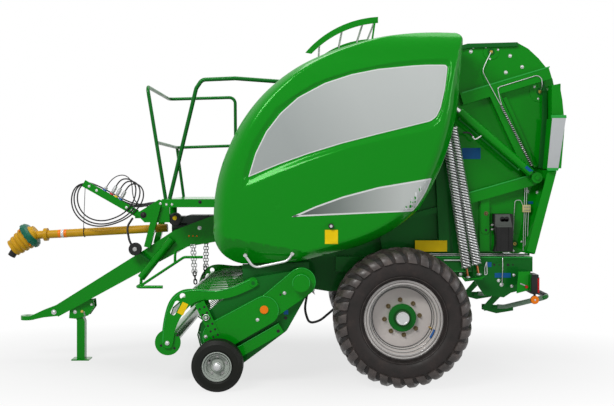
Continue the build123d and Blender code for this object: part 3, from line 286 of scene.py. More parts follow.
NODE_FINISH = {
    "green": (
        "drawbar", "front_cover", "gauge_arms", "hub_left", "hub_right", "pickup_drive_cover", "platform",
        "step", "tailgate_left", "tailgate_right", "tailgate_wings", "top_guard", "hose_holder", "stand",
        "hitch_eye", "crop_roller", "ram_barrel_left", "ram_barrel_right",
    ),
    "deep_green": (
        "axle", "bale_kicker", "chassis_frame", "handrails", "pickup_frame", "rear_side_plates",
        "tailgate_cross_tubes", "pickup_reel",
    ),
    "shade_green": ("chamber_wall_left", "chamber_wall_right", "pickup_bands"),
    "rim": ("rim_left", "rim_right"),
    "gauge_rim": ("gauge_rim_left", "gauge_rim_right"),
    "zinc": ("tailgate_rollers", "hose_couplers"),
    "steel": ("chamber_rollers", "feed_rotor"),
    "chrome": ("ram_rod_left", "ram_rod_right"),
    "tyre_black": ("gauge_tyre_left", "gauge_tyre_right"),
    "belt": ("chamber_belts", "tailgate_belts"),
    "black": ("tail_lamps", "wheel_chock", "shaft_strap", "pto_yoke"),
    "guard": ("pto_guard",),
    "iron": ("gearbox",),
}  # fmt: skip


def dress(obj, finish):
    obj.data.materials.clear()
    obj.data.materials.append(MATERIALS[finish])


def settle(obj, finish, body):
    """Gives a new piece its finish and the body it moves with."""
    dress(obj, finish)
    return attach(obj, body)


for finish, names in NODE_FINISH.items():
    for node_name in names:
        dress(NODES[node_name], finish)

# ---------------------------------------------------------------- cords

HOSES = {  # node of the cord's tube: (diameter in millimetres, length, stiffness, route in millimetres)
    "hose_outer": (13, 2.268, "stiff", (
        (-1390, -66, 1583.8), (-1364, -66, 1629.6), (-1312, -86, 1657), (-1246, -111, 1643),
        (-1206, -125, 1586), (-1211, -128, 1500), (-1268, -128, 1410), (-1365, -122, 1330),
        (-1495, -114, 1275), (-1640, -108, 1252), (-1775, -100, 1292), (-1868, -88, 1390), (-1898, -70, 1510),
        (-1868, -50, 1622), (-1775, -42, 1668), (-1650, -40, 1604), (-1520, -40, 1530), (-1390, -40, 1462),
        (-1265, -40, 1428), (-1140, -40, 1470), (-1010.5, -40, 1470),
    )),
    "hose_middle": (13, 2.1896, "stiff", (
        (-1432.6, -66, 1608), (-1406.6, -66, 1653.8), (-1354, -68, 1681), (-1288, -78, 1668),
        (-1246, -90, 1612), (-1248, -100, 1530), (-1286, -104, 1448), (-1350, -103, 1370),
        (-1450, -100, 1308), (-1590, -94, 1272), (-1725, -86, 1294), (-1828, -74, 1372), (-1876, -56, 1485),
        (-1866, -34, 1600), (-1785, -24, 1672), (-1660, -22, 1620), (-1530, -22, 1546), (-1400, -22, 1478),
        (-1270, -22, 1440), (-1140, -22, 1476), (-1010.5, -22, 1476),
    )),
    "hose_inner": (13, 2.0862, "stiff", (
        (-1474.4, -66, 1631.8), (-1448.4, -66, 1677.6), (-1396, -60, 1704), (-1332, -55, 1690),
        (-1292, -60, 1636), (-1290, -70, 1560), (-1312, -82, 1480), (-1370, -86, 1402), (-1455, -84, 1344),
        (-1590, -78, 1302), (-1715, -70, 1322), (-1806, -56, 1392), (-1850, -36, 1495), (-1842, -14, 1604),
        (-1772, -6, 1676), (-1645, -4, 1630), (-1520, -4, 1560), (-1395, -4, 1494), (-1270, -4, 1452),
        (-1140, -4, 1482), (-1010.5, -4, 1482),
    )),
    "control_cable": (9, 0.8, "medium", (
        (-1563.5, -66, 1622.6), (-1547.5, -66, 1650.8), (-1518, -68, 1690), (-1466, -72, 1728),
        (-1396, -80, 1738), (-1340, -94, 1702), (-1316, -112, 1640), (-1310, -130, 1568), (-1290, -146, 1500),
        (-1235, -147, 1452), (-1160, -120, 1442), (-1085, -82, 1466), (-1010.5, -82, 1466),
    )),
}  # fmt: skip


def link(obj):
    bpy.context.scene.collection.objects.link(obj)
    return obj


def cord_curve(name, route, diameter):
    """A smooth tube with the route's points as control points, which carry its radius and so set its box."""
    data = bpy.data.curves.new(name, "CURVE")
    data.dimensions = "3D"
    data.bevel_depth = 1
    data.bevel_resolution = 4
    data.use_fill_caps = True
    spline = data.splines.new("NURBS")
    spline.points.add(len(route) - 1)
    for point, place in zip(spline.points, route):
        point.co = (*place, 1)
        point.radius = diameter / 2
    spline.order_u = 3
    spline.use_endpoint_u = True
    spline.resolution_u = 8
    return link(bpy.data.objects.new(name, data))


for hose_name, (hose_mm, hose_length, stiffness, route_mm) in HOSES.items():
    route = [tuple(v / 1000 for v in place) for place in route_mm]
    hose = cord_curve("cord_" + hose_name, route, hose_mm / 1000)
    settle(hose, "hose", "chassis")
    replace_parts(hose, hose_name)

# ---------------------------------------------------------------- mesh helpers


def mesh_object(name, vertices, faces, smooth_angle=None):
    mesh = bpy.data.meshes.new(name)
    mesh.from_pydata([tuple(v) for v in vertices], [], [tuple(int(i) for i in f) for f in faces])
    mesh.validate()
    if smooth_angle is not None:
        mesh.shade_smooth()
        mesh.set_sharp_from_angle(angle=math.radians(smooth_angle))
    return link(bpy.data.objects.new(name, mesh))


def piece(name, finish, body, parts, smooth_angle=35):
    """One new piece from several (vertices, faces) pairs."""
    vertices, faces = [], []
    for part_vertices, part_faces in parts:
        base = len(vertices)
        vertices += part_vertices
        faces += [tuple(i + base for i in f) for f in part_faces]
    return settle(mesh_object(name, vertices, faces, smooth_angle), finish, body)


def frame_along(direction):
    """Two unit vectors across a direction."""
    direction = Vector(direction).normalized()
    side = direction.cross(Vector((0, 0, 1)))
    if side.length < 0.1:
        side = direction.cross(Vector((1, 0, 0)))
    side.normalize()
    return side, direction.cross(side).normalized()


def circle(centre, direction, r, count, shift=0.0):
    """Points evenly round a centre, square to a direction; the shift is a share of their pitch."""
    a, b = frame_along(direction)
    angles = (math.tau * (k + shift) / count for k in range(count))
    return [Vector(centre) + (a * math.cos(t) + b * math.sin(t)) * r for t in angles]


def band_faces(rows, columns, closed=False):
    """Quads between rows of points, each a closed loop; the ends are capped unless the band is closed."""
    faces = []
    for i in range(rows if closed else rows - 1):
        base, ahead = i * columns, (i + 1) % rows * columns
        for k in range(columns):
            n = (k + 1) % columns
            faces.append((base + k, base + n, ahead + n, ahead + k))
    if not closed:
        faces.append(tuple(reversed(range(columns))))
        faces.append(tuple((rows - 1) * columns + k for k in range(columns)))
    return faces


def turned(start, direction, profile, count=24):
    """A closed body of revolution; profile is (distance along the axis, radius)."""
    start, direction = Vector(start), Vector(direction).normalized()
    rows = [circle(start + direction * along, direction, r, count) for along, r in profile]
    return sum(rows, []), band_faces(len(profile), count)


def rod(start, end, r, count=12, round_ends=0.0):
    run = Vector(end) - Vector(start)
    if round_ends:
        inset = r - round_ends
        profile = [(0, inset), (round_ends, r), (run.length - round_ends, r), (run.length, inset)]
    else:
        profile = [(0, r), (run.length, r)]
    return turned(start, run, profile, count)


def nut(place, direction, r, height):
    """A hexagon nut with chamfered corners on its washer, and the stud's end in it."""
    return [
        turned(place, direction, [(0, r), (height * 0.8, r), (height, r * 0.86)], 6),
        turned(place, direction, [(0, r * 0.5), (height * 1.45, r * 0.5), (height * 1.55, r * 0.4)], 12),
        turned(place, direction, [(0, r * 1.35), (height * 0.18, r * 1.35), (height * 0.2, r * 1.25)], 16),
    ]


def bolt(place, direction, r, height):
    """A hexagon bolt head on its washer."""
    return [
        turned(place, direction, [(0, r * 1.4), (height * 0.2, r * 1.4), (height * 0.24, r * 1.3)], 16),
        turned(place, direction, [(height * 0.2, r), (height * 0.85, r), (height, r * 0.84)], 6),
    ]


def slab(outline, near, far, bevel=0.002):
    """A lengthwise plate from an (x, z) outline, between two y values, with chamfered edges."""
    bm = bmesh.new()
    face = bm.faces.new([bm.verts.new((x, near, z)) for x, z in outline])
    extruded = bmesh.ops.extrude_face_region(bm, geom=[face])
    for element in extruded["geom"]:
        if isinstance(element, bmesh.types.BMVert):
            element.co.y = far
    bmesh.ops.recalc_face_normals(bm, faces=bm.faces[:])
    if bevel:
        edges = [e for e in bm.edges if e.calc_face_angle(0) > 0.5]
        bmesh.ops.bevel(bm, geom=edges, offset=bevel, segments=2, affect="EDGES", profile=0.6)
    bm.verts.index_update()
    vertices = [v.co.copy() for v in bm.verts]
    faces = [tuple(v.index for v in f.verts) for f in bm.faces]
    bm.free()
    return vertices, faces


def tube_mesh(points, r, count=10, closed=False):
    """A tube swept along many points, with its frame carried from one to the next."""
    points = [Vector(p) for p in points]
    n = len(points)
    vertices = []
    side = None
    for i, p in enumerate(points):
        ahead = points[(i + 1) % n] if closed or i < n - 1 else p
        behind = points[i - 1] if closed or i else p
        direction = (ahead - behind).normalized()
        if side is None:
            side, _ = frame_along(direction)
        side = (side - direction * side.dot(direction)).normalized()
        up = direction.cross(side)
        for k in range(count):
            angle = math.tau * k / count
            vertices.append(p + (side * math.cos(angle) + up * math.sin(angle)) * r)
    return vertices, band_faces(n, count, closed)


def ring(centre, out, r, wire, count=72, sides=6):
    """A closed wire ring square to a direction."""
    return tube_mesh(circle(centre, out, r, count), wire, sides, closed=True)


def coil(start, end, r, wire, pitch, steps=14, sides=6, phase=0.0):
    """A left-handed coil of wire between two points."""
    start, run = Vector(start), Vector(end) - Vector(start)
    a, b = frame_along(run)
    turns = run.length / pitch
    total = int(turns * steps)
    points = []
    for k in range(total + 1):
        angle = phase - math.tau * turns * k / total
        points.append(start + run * (k / total) + (a * math.cos(angle) + b * math.sin(angle)) * r)
    return tube_mesh(points, wire, sides)


def chain_links(start, end, count, length, wire, width):
    """Oval links along a straight run, each turned a quarter from the last."""
    start, end = Vector(start), Vector(end)
    run = (end - start).normalized()
    half, r = (length - width) / 2, width / 2
    links = []
    for i in range(count):
        middle = start.lerp(end, (i + 0.5) / count)
        across = frame_along(run)[1 - i % 2]
        points = []
        for k in range(14):
            angle = math.pi * (k - k // 7) / 6
            shift = half if k < 7 else -half
            points.append(middle + across * (r * math.cos(angle)) + run * (shift + r * math.sin(angle)))
        links.append(tube_mesh(points, wire, 8, closed=True))
    return links


def rounded_path(corners, bend, steps=6):
    """Points along straight runs whose corners are rounded by quadratic bends."""
    corners = [Vector(c) for c in corners]
    path = [corners[0]]
    for before, corner, after in zip(corners, corners[1:], corners[2:]):
        cut = min(bend, (before - corner).length * 0.45, (after - corner).length * 0.45)
        a = corner + (before - corner).normalized() * cut
        c = corner + (after - corner).normalized() * cut
        for k in range(steps + 1):
            t = k / steps
            path.append(a * (1 - t) ** 2 + corner * 2 * t * (1 - t) + c * t * t)
    path.append(corners[-1])
    return path


def arc(x, z, r, start, end, count=16):
    """(x, z) points round a centre between two angles in degrees."""
    angles = np.radians(np.linspace(start, end, count))
    return [(x + r * math.cos(a), z + r * math.sin(a)) for a in angles]


def box_outline(x0, z0, x1, z1):
    return ((x0, z0), (x1, z0), (x1, z1), (x0, z1))


def round_outline(x0, z0, x1, z1, r):
    """A rectangle with rounded corners."""
    corners = ((x1 - r, z1 - r, 0), (x0 + r, z1 - r, 90), (x0 + r, z0 + r, 180), (x1 - r, z0 + r, 270))
    return [point for x, z, start in corners for point in arc(x, z, r, start, start + 90, 6)]


def bar_outline(start, end, width):
    """A straight bar between two (x, z) points."""
    a, b = np.array(start), np.array(end)
    run = (b - a) / np.linalg.norm(b - a)
    across = np.array((-run[1], run[0])) * width / 2
    return [tuple(p) for p in (a - across, b - across, b + across, a + across)]


# ---------------------------------------------------------------- fittings, joined by body and finish

LAP = 0.0005  # how far a flat piece stands off the face behind it
fittings = {}  # (body, finish): closed meshes


def fit(body, finish, *parts):
    fittings.setdefault((body, finish), []).extend(parts)


def outward(side):
    return Vector((0, -side, 0))


def panel(body, side, finish, outline, near, thick=0.003, bevel=0.001):
    """A flat piece from an (x, z) outline that stands out from a distance off the machine's middle."""
    fit(body, finish, slab(outline, -side * near, -side * (near + thick), bevel))


def disc(body, side, finish, x, y, z, r, thick=0.003, count=28):
    edge = min(thick * 0.4, 0.003)
    profile = ((0, r), (thick - edge, r), (thick, r - edge))
    fit(body, finish, turned((x, -side * y, z), outward(side), profile, count))


def dome(body, side, finish, x, y, z, r, height=0.5):
    """A round bolt head on its washer."""
    steps = [(0, r * 1.3), (0.002, r * 1.3), (0.0022, r)]
    steps += [(0.0022 + r * height * math.sin(a), max(r * math.cos(a), 0)) for a in (0.5, 0.9, 1.25, 1.57)]
    fit(body, finish, turned((x, -side * y, z), outward(side), steps, 14))


def pipe(body, side, finish, r, points, bend=0.03):
    fit(body, finish, tube_mesh(rounded_path([(x, -side * y, z) for x, y, z in points], bend), r))


def trim(body, sides, panels=(), discs=(), domes=(), pipes=()):
    """Adds rows of small pieces to a body, on the left (1), the right (-1) or both."""
    for add, rows in ((panel, panels), (disc, discs), (dome, domes), (pipe, pipes)):
        for side in sides:
            for row in rows:
                add(body, side, *row)


# ---------------------------------------------------------------- doors

DOOR_MIDDLE = np.array((0.62, 1.96))
DOOR_RIM_Y, DOOR_SIDE_Y, DOOR_FACE_Y, DOOR_THICK = 0.862, 1.04, 1.164, 0.01
DOOR_ROUND = 0.16  # share of the outline's size over which the door rounds off to its face
BULGE = (  # the door's cross section above its crease: (height, distance from the middle)
    (1.19, 1.138), (1.56, 1.156), (1.9, 1.163), (2.2, 1.157), (2.45, 1.141), (2.68, 1.106), (2.86, 1.05),
    (2.93, 0.99),
)  # fmt: skip
TUCK = 0.66  # how steeply the door tucks in below its crease
CREASE = ((-0.32, 1.216), (0.294, 1.107))
CREASE_SLOPE = (CREASE[1][1] - CREASE[0][1]) / (CREASE[1][0] - CREASE[0][0])
CREASE_SOFT = 0.006  # half the height of the strip that shades as the side of the crease it is on
DOOR_RUNS = (  # outline: (start, point on the arc or None where it is straight, steps to the next start)
    ((1.52, 2.905), (1.585, 2.88), 10), ((1.6, 2.83), None, 24), ((1.561, 2.336), (1.46, 1.9), 44),
    ((1.24, 1.45), (0.96, 1.24), 36), ((0.584, 1.1), None, 16), ((0.242, 1.012), None, 20),
    ((-0.216, 0.993), (-0.39, 1.085), 22), ((-0.454, 1.316), (-0.43, 1.65), 30),
    ((-0.33, 1.96), (-0.06, 2.38), 44), ((0.33, 2.67), (0.88, 2.858), 50),
)  # fmt: skip
DOOR_RINGS = (  # shares of the way to the middle at which the skin has a ring of points
    -0.12, -0.06, -0.01, 0.0, 0.006, 0.014, 0.024, 0.036, 0.05, 0.066, 0.084, 0.104, 0.126, 0.15, 0.18, 0.22,
    0.27, 0.33, 0.4, 0.48, 0.56, 0.64, 0.72, 0.8, 0.88, 0.95,
)  # fmt: skip
RECESS = (  # the ridge round the door's sunk field
    (-0.229, 1.588), (0.025, 1.706), (0.314, 1.824), (0.68, 1.949), (1.041, 2.032), (1.24, 2.072),
    (1.345, 2.105), (1.402, 2.165), (1.452, 2.345), (1.484, 2.534), (1.502, 2.66), (1.48, 2.69), (1.25, 2.68),
    (1.038, 2.658), (0.679, 2.584), (0.371, 2.484), (0.054, 2.28), (-0.134, 2.005), (-0.205, 1.79),
)  # fmt: skip
LEAF = (
    (-0.164, 1.71), (0.09, 1.815), (0.314, 1.896), (0.6, 1.984), (0.896, 2.06), (1.317, 2.164), (1.368, 2.2),
    (1.403, 2.272), (1.44, 2.432), (1.464, 2.61), (1.448, 2.63), (1.3, 2.63), (1.186, 2.624), (0.896, 2.595),
    (0.678, 2.551), (0.461, 2.479), (0.243, 2.362), (0.098, 2.232), (-0.019, 2.08), (-0.105, 1.906),
)  # fmt: skip
WEDGE = (
    (0.188, 1.386), (1.179, 1.431), (1.232, 1.5), (1.29, 1.596), (1.334, 1.703), (0.895, 1.629),
    (0.605, 1.552), (0.387, 1.474),
)  # fmt: skip
DOOR_PLATE = box_outline(0.46, 1.167, 0.566, 1.281)
RECESS_DEPTH, LEAF_MARGIN = 0.022, 0.006
RECESS_BANDS = (0.012, 0.0, -0.012, -0.026, -0.04)  # distances off the ridge that get a row of points
LEAF_BANDS = (0.02, 0.004)
CREASE_RUN = np.linspace(-0.4, 0.62, 44)
OUTLINE_STEP, PANEL_STEP, PANEL_THICK = 0.02, 0.035, 0.0024
PANELS = (  # (name, outline, inset, lift off the skin, finish)
    ("leaf_border", LEAF, 0, 0.0016, "white"), ("leaf", LEAF, 0.009, 0.0026, "leaf"),
    ("wedge_border", WEDGE, 0, 0.0016, "white"), ("wedge", WEDGE, 0.013, 0.0026, "wedge"),
)  # fmt: skip
PIN_Y, PIN_Z, HINGE_SKIN_Y = 0.826, 2.836, 0.892
HINGES, HINGE_THICK = ((1.0, 2.858), (1.4, 2.886)), 0.012  # (x, height where the lug meets the skin)
HANDLE = ((-0.19, 1.07), (-0.12, 0.968), (0.155, 1.026), (0.194, 1.082))
HANDLE_Y, HANDLE_ROOT_Y = 1.118, 1.062
CATCH = Vector((0.51, 0, 1.312))
CATCH_Y, CATCH_DEEP = 1.158, 0.017


def arc_points(a, b, c, count):
    """Points on the circle's arc from a through b to c, without the last one."""
    a, b, c = (np.array(p) for p in (a, b, c))
    middle = np.linalg.solve(2 * np.array((b - a, c - a)), (b @ b - a @ a, c @ c - a @ a))
    start, via, end = (math.atan2(*(p - middle)[::-1]) for p in (a, b, c))
    sweep = (end - start) % math.tau
    if (via - start) % math.tau > sweep:
        sweep -= math.tau
    angles = start + sweep * np.arange(count) / count
    return list(middle + np.linalg.norm(a - middle) * np.stack([np.cos(angles), np.sin(angles)], axis=1))


def door_outline():
    points = []
    for (start, through, count), (end, *_) in zip(DOOR_RUNS, DOOR_RUNS[1:] + DOOR_RUNS[:1]):
        if through:
            points += arc_points(start, through, end, count)
        else:
            points += list(np.linspace(start, end, count, endpoint=False))
    return np.array(points)


def resampled(points, step):
    """Evenly spaced points along a closed outline."""
    closed = np.array((*points, points[0]))
    runs = np.linalg.norm(np.diff(closed, axis=0), axis=1)
    cumulative = np.concatenate([[0], np.cumsum(runs)])
    wanted = np.linspace(0, cumulative[-1], max(8, round(cumulative[-1] / step)), endpoint=False)
    return np.stack([np.interp(wanted, cumulative, closed[:, i]) for i in (0, 1)], axis=1)


def inside_distance(points, outline):
    """Distance to the outline, positive inside it."""
    best = np.full(len(points), np.inf)
    crossings = np.zeros(len(points), int)
    x, z = points.T
    for (ax, az), (bx, bz) in zip(outline, np.roll(outline, -1, axis=0)):
        dx, dz = bx - ax, bz - az
        t = np.clip(((x - ax) * dx + (z - az) * dz) / (dx * dx + dz * dz + 1e-12), 0, 1)
        best = np.minimum(best, np.hypot(x - ax - t * dx, z - az - t * dz))
        if dz:
            crossings += ((az > z) != (bz > z)) & (x < ax + (z - az) / dz * dx)
    return np.where(crossings % 2 == 1, best, -best)


def offset_outline(outline, distance):
    """The outline moved outwards by a distance (inwards if negative)."""
    before, after = np.roll(outline, 1, axis=0), np.roll(outline, -1, axis=0)
    run = after - before
    run /= np.linalg.norm(run, axis=1)[:, None]
    normal = np.stack([run[:, 1], -run[:, 0]], axis=1)
    area = np.sum(outline[:, 0] * after[:, 1] - after[:, 0] * outline[:, 1])
    return outline + normal * distance * (1 if area > 0 else -1)


def grid_inside(outline, margin, step):
    """Grid points at least a margin inside an outline."""
    xs, zs = (np.arange(low, high, step) for low, high in zip(outline.min(axis=0), outline.max(axis=0)))
    grid = np.array([(x, z) for x in xs for z in zs])
    return grid[inside_distance(grid, outline) > margin]


DOOR_EDGE = door_outline()
RECESS_EDGE, LEAF_EDGE = resampled(RECESS, OUTLINE_STEP), resampled(LEAF, OUTLINE_STEP)


def outline_share(points):
    """How far each (x, z) point is from the edge towards the middle: 0 at the edge, 1 at the middle."""
    edge, place = DOOR_EDGE - DOOR_MIDDLE, points - DOOR_MIDDLE
    edge_angle = np.arctan2(edge[:, 1], edge[:, 0])
    order = np.argsort(edge_angle)
    edge_r = np.linalg.norm(edge, axis=1)[order]
    reach = np.interp(np.arctan2(place[:, 1], place[:, 0]), edge_angle[order], edge_r, period=math.tau)
    return 1 - np.linalg.norm(place, axis=1) / reach


def soft_min(a, b, width):
    h = np.clip(0.5 + (b - a) / (2 * width), 0, 1)
    return b + (a - b) * h - width * h * (1 - h)


def crease_height(x):
    return np.clip(CREASE[0][1] + (x - CREASE[0][0]) * CREASE_SLOPE, 1.02, 1.25)


def curve_through(values, knots):
    """A smooth curve through (place, height) knots."""
    xs, ys = np.array(knots).T
    slopes = np.gradient(ys, xs)
    k = np.clip(np.searchsorted(xs, values) - 1, 0, len(xs) - 2)
    span = xs[k + 1] - xs[k]
    t = np.clip((values - xs[k]) / span, 0, 1)
    rise = 3 * t**2 - 2 * t**3
    level = ys[k] * (1 - rise) + ys[k + 1] * rise
    return level + span * (slopes[k] * (t**3 - 2 * t**2 + t) + slopes[k + 1] * (t**3 - t**2))


def recess_depth(xz):
    """How deep the sunk field is at each point: full depth under the leaf, none outside its ridge."""
    from_ridge = inside_distance(xz, RECESS_EDGE)
    from_leaf = np.clip(-inside_distance(xz, LEAF_EDGE) - LEAF_MARGIN, 0, None)
    t = np.where(from_ridge > 0, from_ridge / (from_ridge + from_leaf + 1e-9), 0)
    return RECESS_DEPTH * t * t * (3 - 2 * t)


def door_surface(flat):
    """Places on the door's outer skin for flat (x, z) points; beyond the edge they go down its rim."""
    share = outline_share(flat)
    xz = DOOR_MIDDLE + (flat - DOOR_MIDDLE) * np.where(share < 0, 1 / (1 - share), 1)[:, None]
    rounding = 1 - np.clip(1 - np.clip(share, 0, None) / DOOR_ROUND, 0, 1) ** 2.2
    y = DOOR_SIDE_Y + (DOOR_FACE_Y - DOOR_SIDE_Y) * rounding
    low, low_y = BULGE[0]
    shifted = xz[:, 1] + (low - crease_height(xz[:, 0])) * np.clip((1.6 - xz[:, 1]) / 0.4, 0, 1)
    above = curve_through(np.maximum(shifted, low), BULGE)
    y = soft_min(y, np.where(shifted < low, low_y - TUCK * (low - shifted), above), 0.01)
    y = y - recess_depth(xz)
    y = np.where(share < 0, y + (DOOR_RIM_Y - y) * np.clip(-share / 0.12, 0, 1), y)
    return np.stack([xz[:, 0], -y, xz[:, 1]], axis=1)


def surface_normals(flat, step=0.0015):
    """Outward normals of the door's left skin; next to the crease each side keeps its own."""
    from_crease = flat[:, 1] - crease_height(flat[:, 0])
    away = np.where(from_crease >= 0, CREASE_SOFT, -CREASE_SOFT) * (np.abs(from_crease) < CREASE_SOFT)
    flat = flat + np.stack([np.zeros(len(flat)), away], axis=1)
    along = door_surface(flat + (step, 0)) - door_surface(flat - (step, 0))
    up = door_surface(flat + (0, step)) - door_surface(flat - (0, step))
    normal = np.cross(along, up)
    return normal / np.maximum(np.linalg.norm(normal, axis=1), 1e-12)[:, None]


def skin(name, finish, side_name, side, loops, spread, lift=0.0, thick=DOOR_THICK):
    """A shell over the door's form: a triangulated sheet with its edges closed to a back sheet."""
    points, edges = [], []
    for loop in loops:
        base, count = len(points), len(loop)
        points += [Vector(p) for p in loop]
        edges += [(base + k, base + (k + 1) % count) for k in range(count)]
    points += [Vector(p) for p in spread]
    result = delaunay_2d_cdt(points, edges, [], 1, 1e-6)
    flat = np.array([tuple(v) for v in result[0]])
    triangles = [tuple(f) for f in result[2]]
    normal = surface_normals(flat)
    front = door_surface(flat) + normal * lift
    vertices = np.vstack([front, front - normal * thick]) * (1, side, 1)
    normals = np.vstack([normal, -normal]) * (1, side, 1)
    a, b, c = flat[list(triangles[0])]
    if (np.linalg.det((b - a, c - a)) < 0) == (side > 0):
        triangles = [t[::-1] for t in triangles]
    runs = {(a, b) for t in triangles for a, b in zip(t, t[1:] + t[:1])}
    count = len(flat)
    faces = triangles + [tuple(i + count for i in t[::-1]) for t in triangles]
    walls = len(faces)
    faces += [(b, a, a + count, b + count) for a, b in runs if (b, a) not in runs]
    mesh = bpy.data.meshes.new(name)
    mesh.from_pydata([tuple(v) for v in vertices], [], faces)
    mesh.shade_smooth()
    custom = []
    for polygon in mesh.polygons:
        wall = polygon.index >= walls
        custom += [tuple(polygon.normal if wall else normals[corner]) for corner in polygon.vertices]
    mesh.normals_split_custom_set(custom)
    shell = link(bpy.data.objects.new(name, mesh))
    settle(shell, finish, f"door_{side_name}")
    return shell


def slab_between(xs, a, b, half):
    """A plate across X between two (y, z) points, with its vertices and faces."""
    a, b = np.array(a), np.array(b)
    run = (b - a) / np.linalg.norm(b - a)
    up = np.array((-run[1], run[0])) * half
    vertices = [Vector((x, *c)) for x in xs for c in (a - up, b - up, b + up, a + up)]
    return vertices, [f[::-1] for f in band_faces(2, 4)]


def build_door(side_name, side):
    body = f"door_{side_name}"
    bands = [offset_outline(RECESS_EDGE, distance) for distance in RECESS_BANDS]
    bands += [offset_outline(LEAF_EDGE, distance) for distance in LEAF_BANDS]
    crease = np.stack([CREASE_RUN, crease_height(CREASE_RUN)], axis=1)
    rings = [DOOR_MIDDLE + (DOOR_EDGE - DOOR_MIDDLE) * (1 - share) for share in DOOR_RINGS]
    crease = np.vstack([crease, crease[::-1] + (0, 0.003)])
    shell = skin(f"door_skin_{side_name}", "green", side_name, side, [*rings, crease], np.vstack(bands))
    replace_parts(shell, f"door_{side_name}")
    for name, field, inset, lift, finish in PANELS:
        outline = resampled(field, OUTLINE_STEP)
        if inset:
            outline = offset_outline(outline, -inset)
        grid = grid_inside(outline, 0.012, PANEL_STEP)
        skin(f"door_{name}_{side_name}", finish, side_name, side, [outline], grid, lift, PANEL_THICK)
    out, pin_y = outward(side), -side * PIN_Y
    lugs = []
    for x, skin_z in HINGES:
        far = x + HINGE_THICK
        lugs.append(rod((x, pin_y, PIN_Z), (far, pin_y, PIN_Z), 0.02, 20))
        lugs.append(slab_between((x, far), (pin_y, PIN_Z), (-side * HINGE_SKIN_Y, skin_z), 0.017))
    piece(f"door_lugs_{side_name}", "green", body, lugs)
    grip = [tube_mesh(rounded_path([(x, -side * HANDLE_Y, z) for x, z in HANDLE], 0.05), 0.012, 14)]
    for x, z in (HANDLE[0], HANDLE[-1]):
        root = Vector((x, -side * HANDLE_ROOT_Y, z))
        grip.append(rod(root + out * (HANDLE_Y + 0.012 - HANDLE_ROOT_Y), root, 0.016, 14, 0.003))
    piece(f"door_handle_{side_name}", "zinc", body, grip)
    catch = CATCH + out * CATCH_Y
    fit(body, "black", turned(catch, out, ((0, 0.022), (0.014, 0.022), (CATCH_DEEP, 0.018)), 28))
    fit(body, "zinc", turned(catch + out * CATCH_DEEP, out, ((0, 0.012), (0.003, 0.012)), 20))


for side_name, side in SIDES:
    build_door(side_name, side)
plate_grid = grid_inside(resampled(DOOR_PLATE, OUTLINE_STEP), 0.004, OUTLINE_STEP)
skin("door_plate_left", "yellow_plate", "left", 1, [DOOR_PLATE], plate_grid, 0.004, 0.003)

# ---------------------------------------------------------------- road tyres and wheels

AXLE_X, TYRE_R, WHEEL_Y = 1.09, 0.565, 1.05
TYRE_HALF = (  # half of the carcass section, from the middle of the tread to the bead: (offset, radius)
    (0.0, 0.5405), (0.06, 0.54), (0.12, 0.537), (0.17, 0.531), (0.205, 0.521), (0.228, 0.506), (0.239, 0.488),
    (0.2425, 0.469), (0.2455, 0.467), (0.2455, 0.462), (0.243, 0.46), (0.247, 0.44), (0.2495, 0.415),
    (0.248, 0.39), (0.24, 0.366), (0.229, 0.352), (0.227, 0.35), (0.223, 0.346), (0.206, 0.334),
    (0.19, 0.328), (0.186, 0.318),
)  # fmt: skip
TYRE_INNER, TYRE_STEPS = (0.17, 0.33), 160
TREAD_HALF, TREAD_LOW = 0.236, 0.47  # inside this half width and beyond this radius the carcass takes a darker rubber: painted shade in the gaps between the lugs
LUGS, LUG_HEIGHT, LUG_SHIFT, LUG_SWEEP = 30, 0.024, 0.25, 0.2
LUG_RUN = np.linspace(0, 1, 13)
LUG_SECTION = (  # (share of the width, share of the height or depth of its foot)
    (-1.35, -0.006), (-1.0, 0.86), (-0.8, 1.0), (0.8, 1.0), (1.0, 0.86), (1.35, -0.006),
)  # fmt: skip
RIM_RINGS = (  # (finish, distance out from the wheel's middle, radius, wire) of the steps in the rim's barrel: bright rings are a painted highlight on their edges, dark rings painted shade in the grooves between
    ("rim_bright", 0.1905, 0.311, 0.004), ("rim_groove", 0.1905, 0.299, 0.0026),
    ("rim_bright", 0.1905, 0.287, 0.004), ("rim_groove", 0.15, 0.2738, 0.003),
    ("rim_bright", 0.138, 0.269, 0.0036), ("rim_groove", 0.1, 0.256, 0.0034),
    ("rim_bright", 0.09, 0.253, 0.003), ("rim_groove", 0.064, 0.244, 0.0044),
)  # fmt: skip
TYRE_RINGS = ((0.2235, 0.456), (0.242, 0.408), (0.233, 0.348))  # (distance out, radius) of rings on the sidewall, in the lighter lit rubber: painted highlight
NUTS, NUT_CIRCLE, NUT_TURN = 8, 0.144, 0.105
HUB_PIECES = (  # (name, finish, distance out, profile, sides); the recess is a flat, very dark disc: painted shade
    ("hub_ring", "deep_green", 0.087, ((0, 0.1135), (0.004, 0.1135), (0.007, 0.11), (0.0072, 0.07)), 48),
    ("hub_recess", "groove_green", 0.094, ((0, 0.074), (0.0008, 0.074)), 40),
    ("hub_cap", "zinc", 0.09,
     ((0, 0.056), (0.04, 0.056), (0.046, 0.052), (0.0465, 0.043), (0.045, 0.041), (0.045, 0.0)), 40),
)  # fmt: skip
RIM_PLATE_ANGLES, RIM_PLATE_THICK = (-19, -27, -35), 0.003
RIM_PLATE_EDGES = ((0.2665, 0.118), (0.2695, 0.166))  # (radius, distance out)


def upright(r, angle, out=0.0):
    """A point off a wheel's middle: radius, angle from the top towards the rear, and distance along Y."""
    return Vector((r * math.sin(angle), out, r * math.cos(angle)))


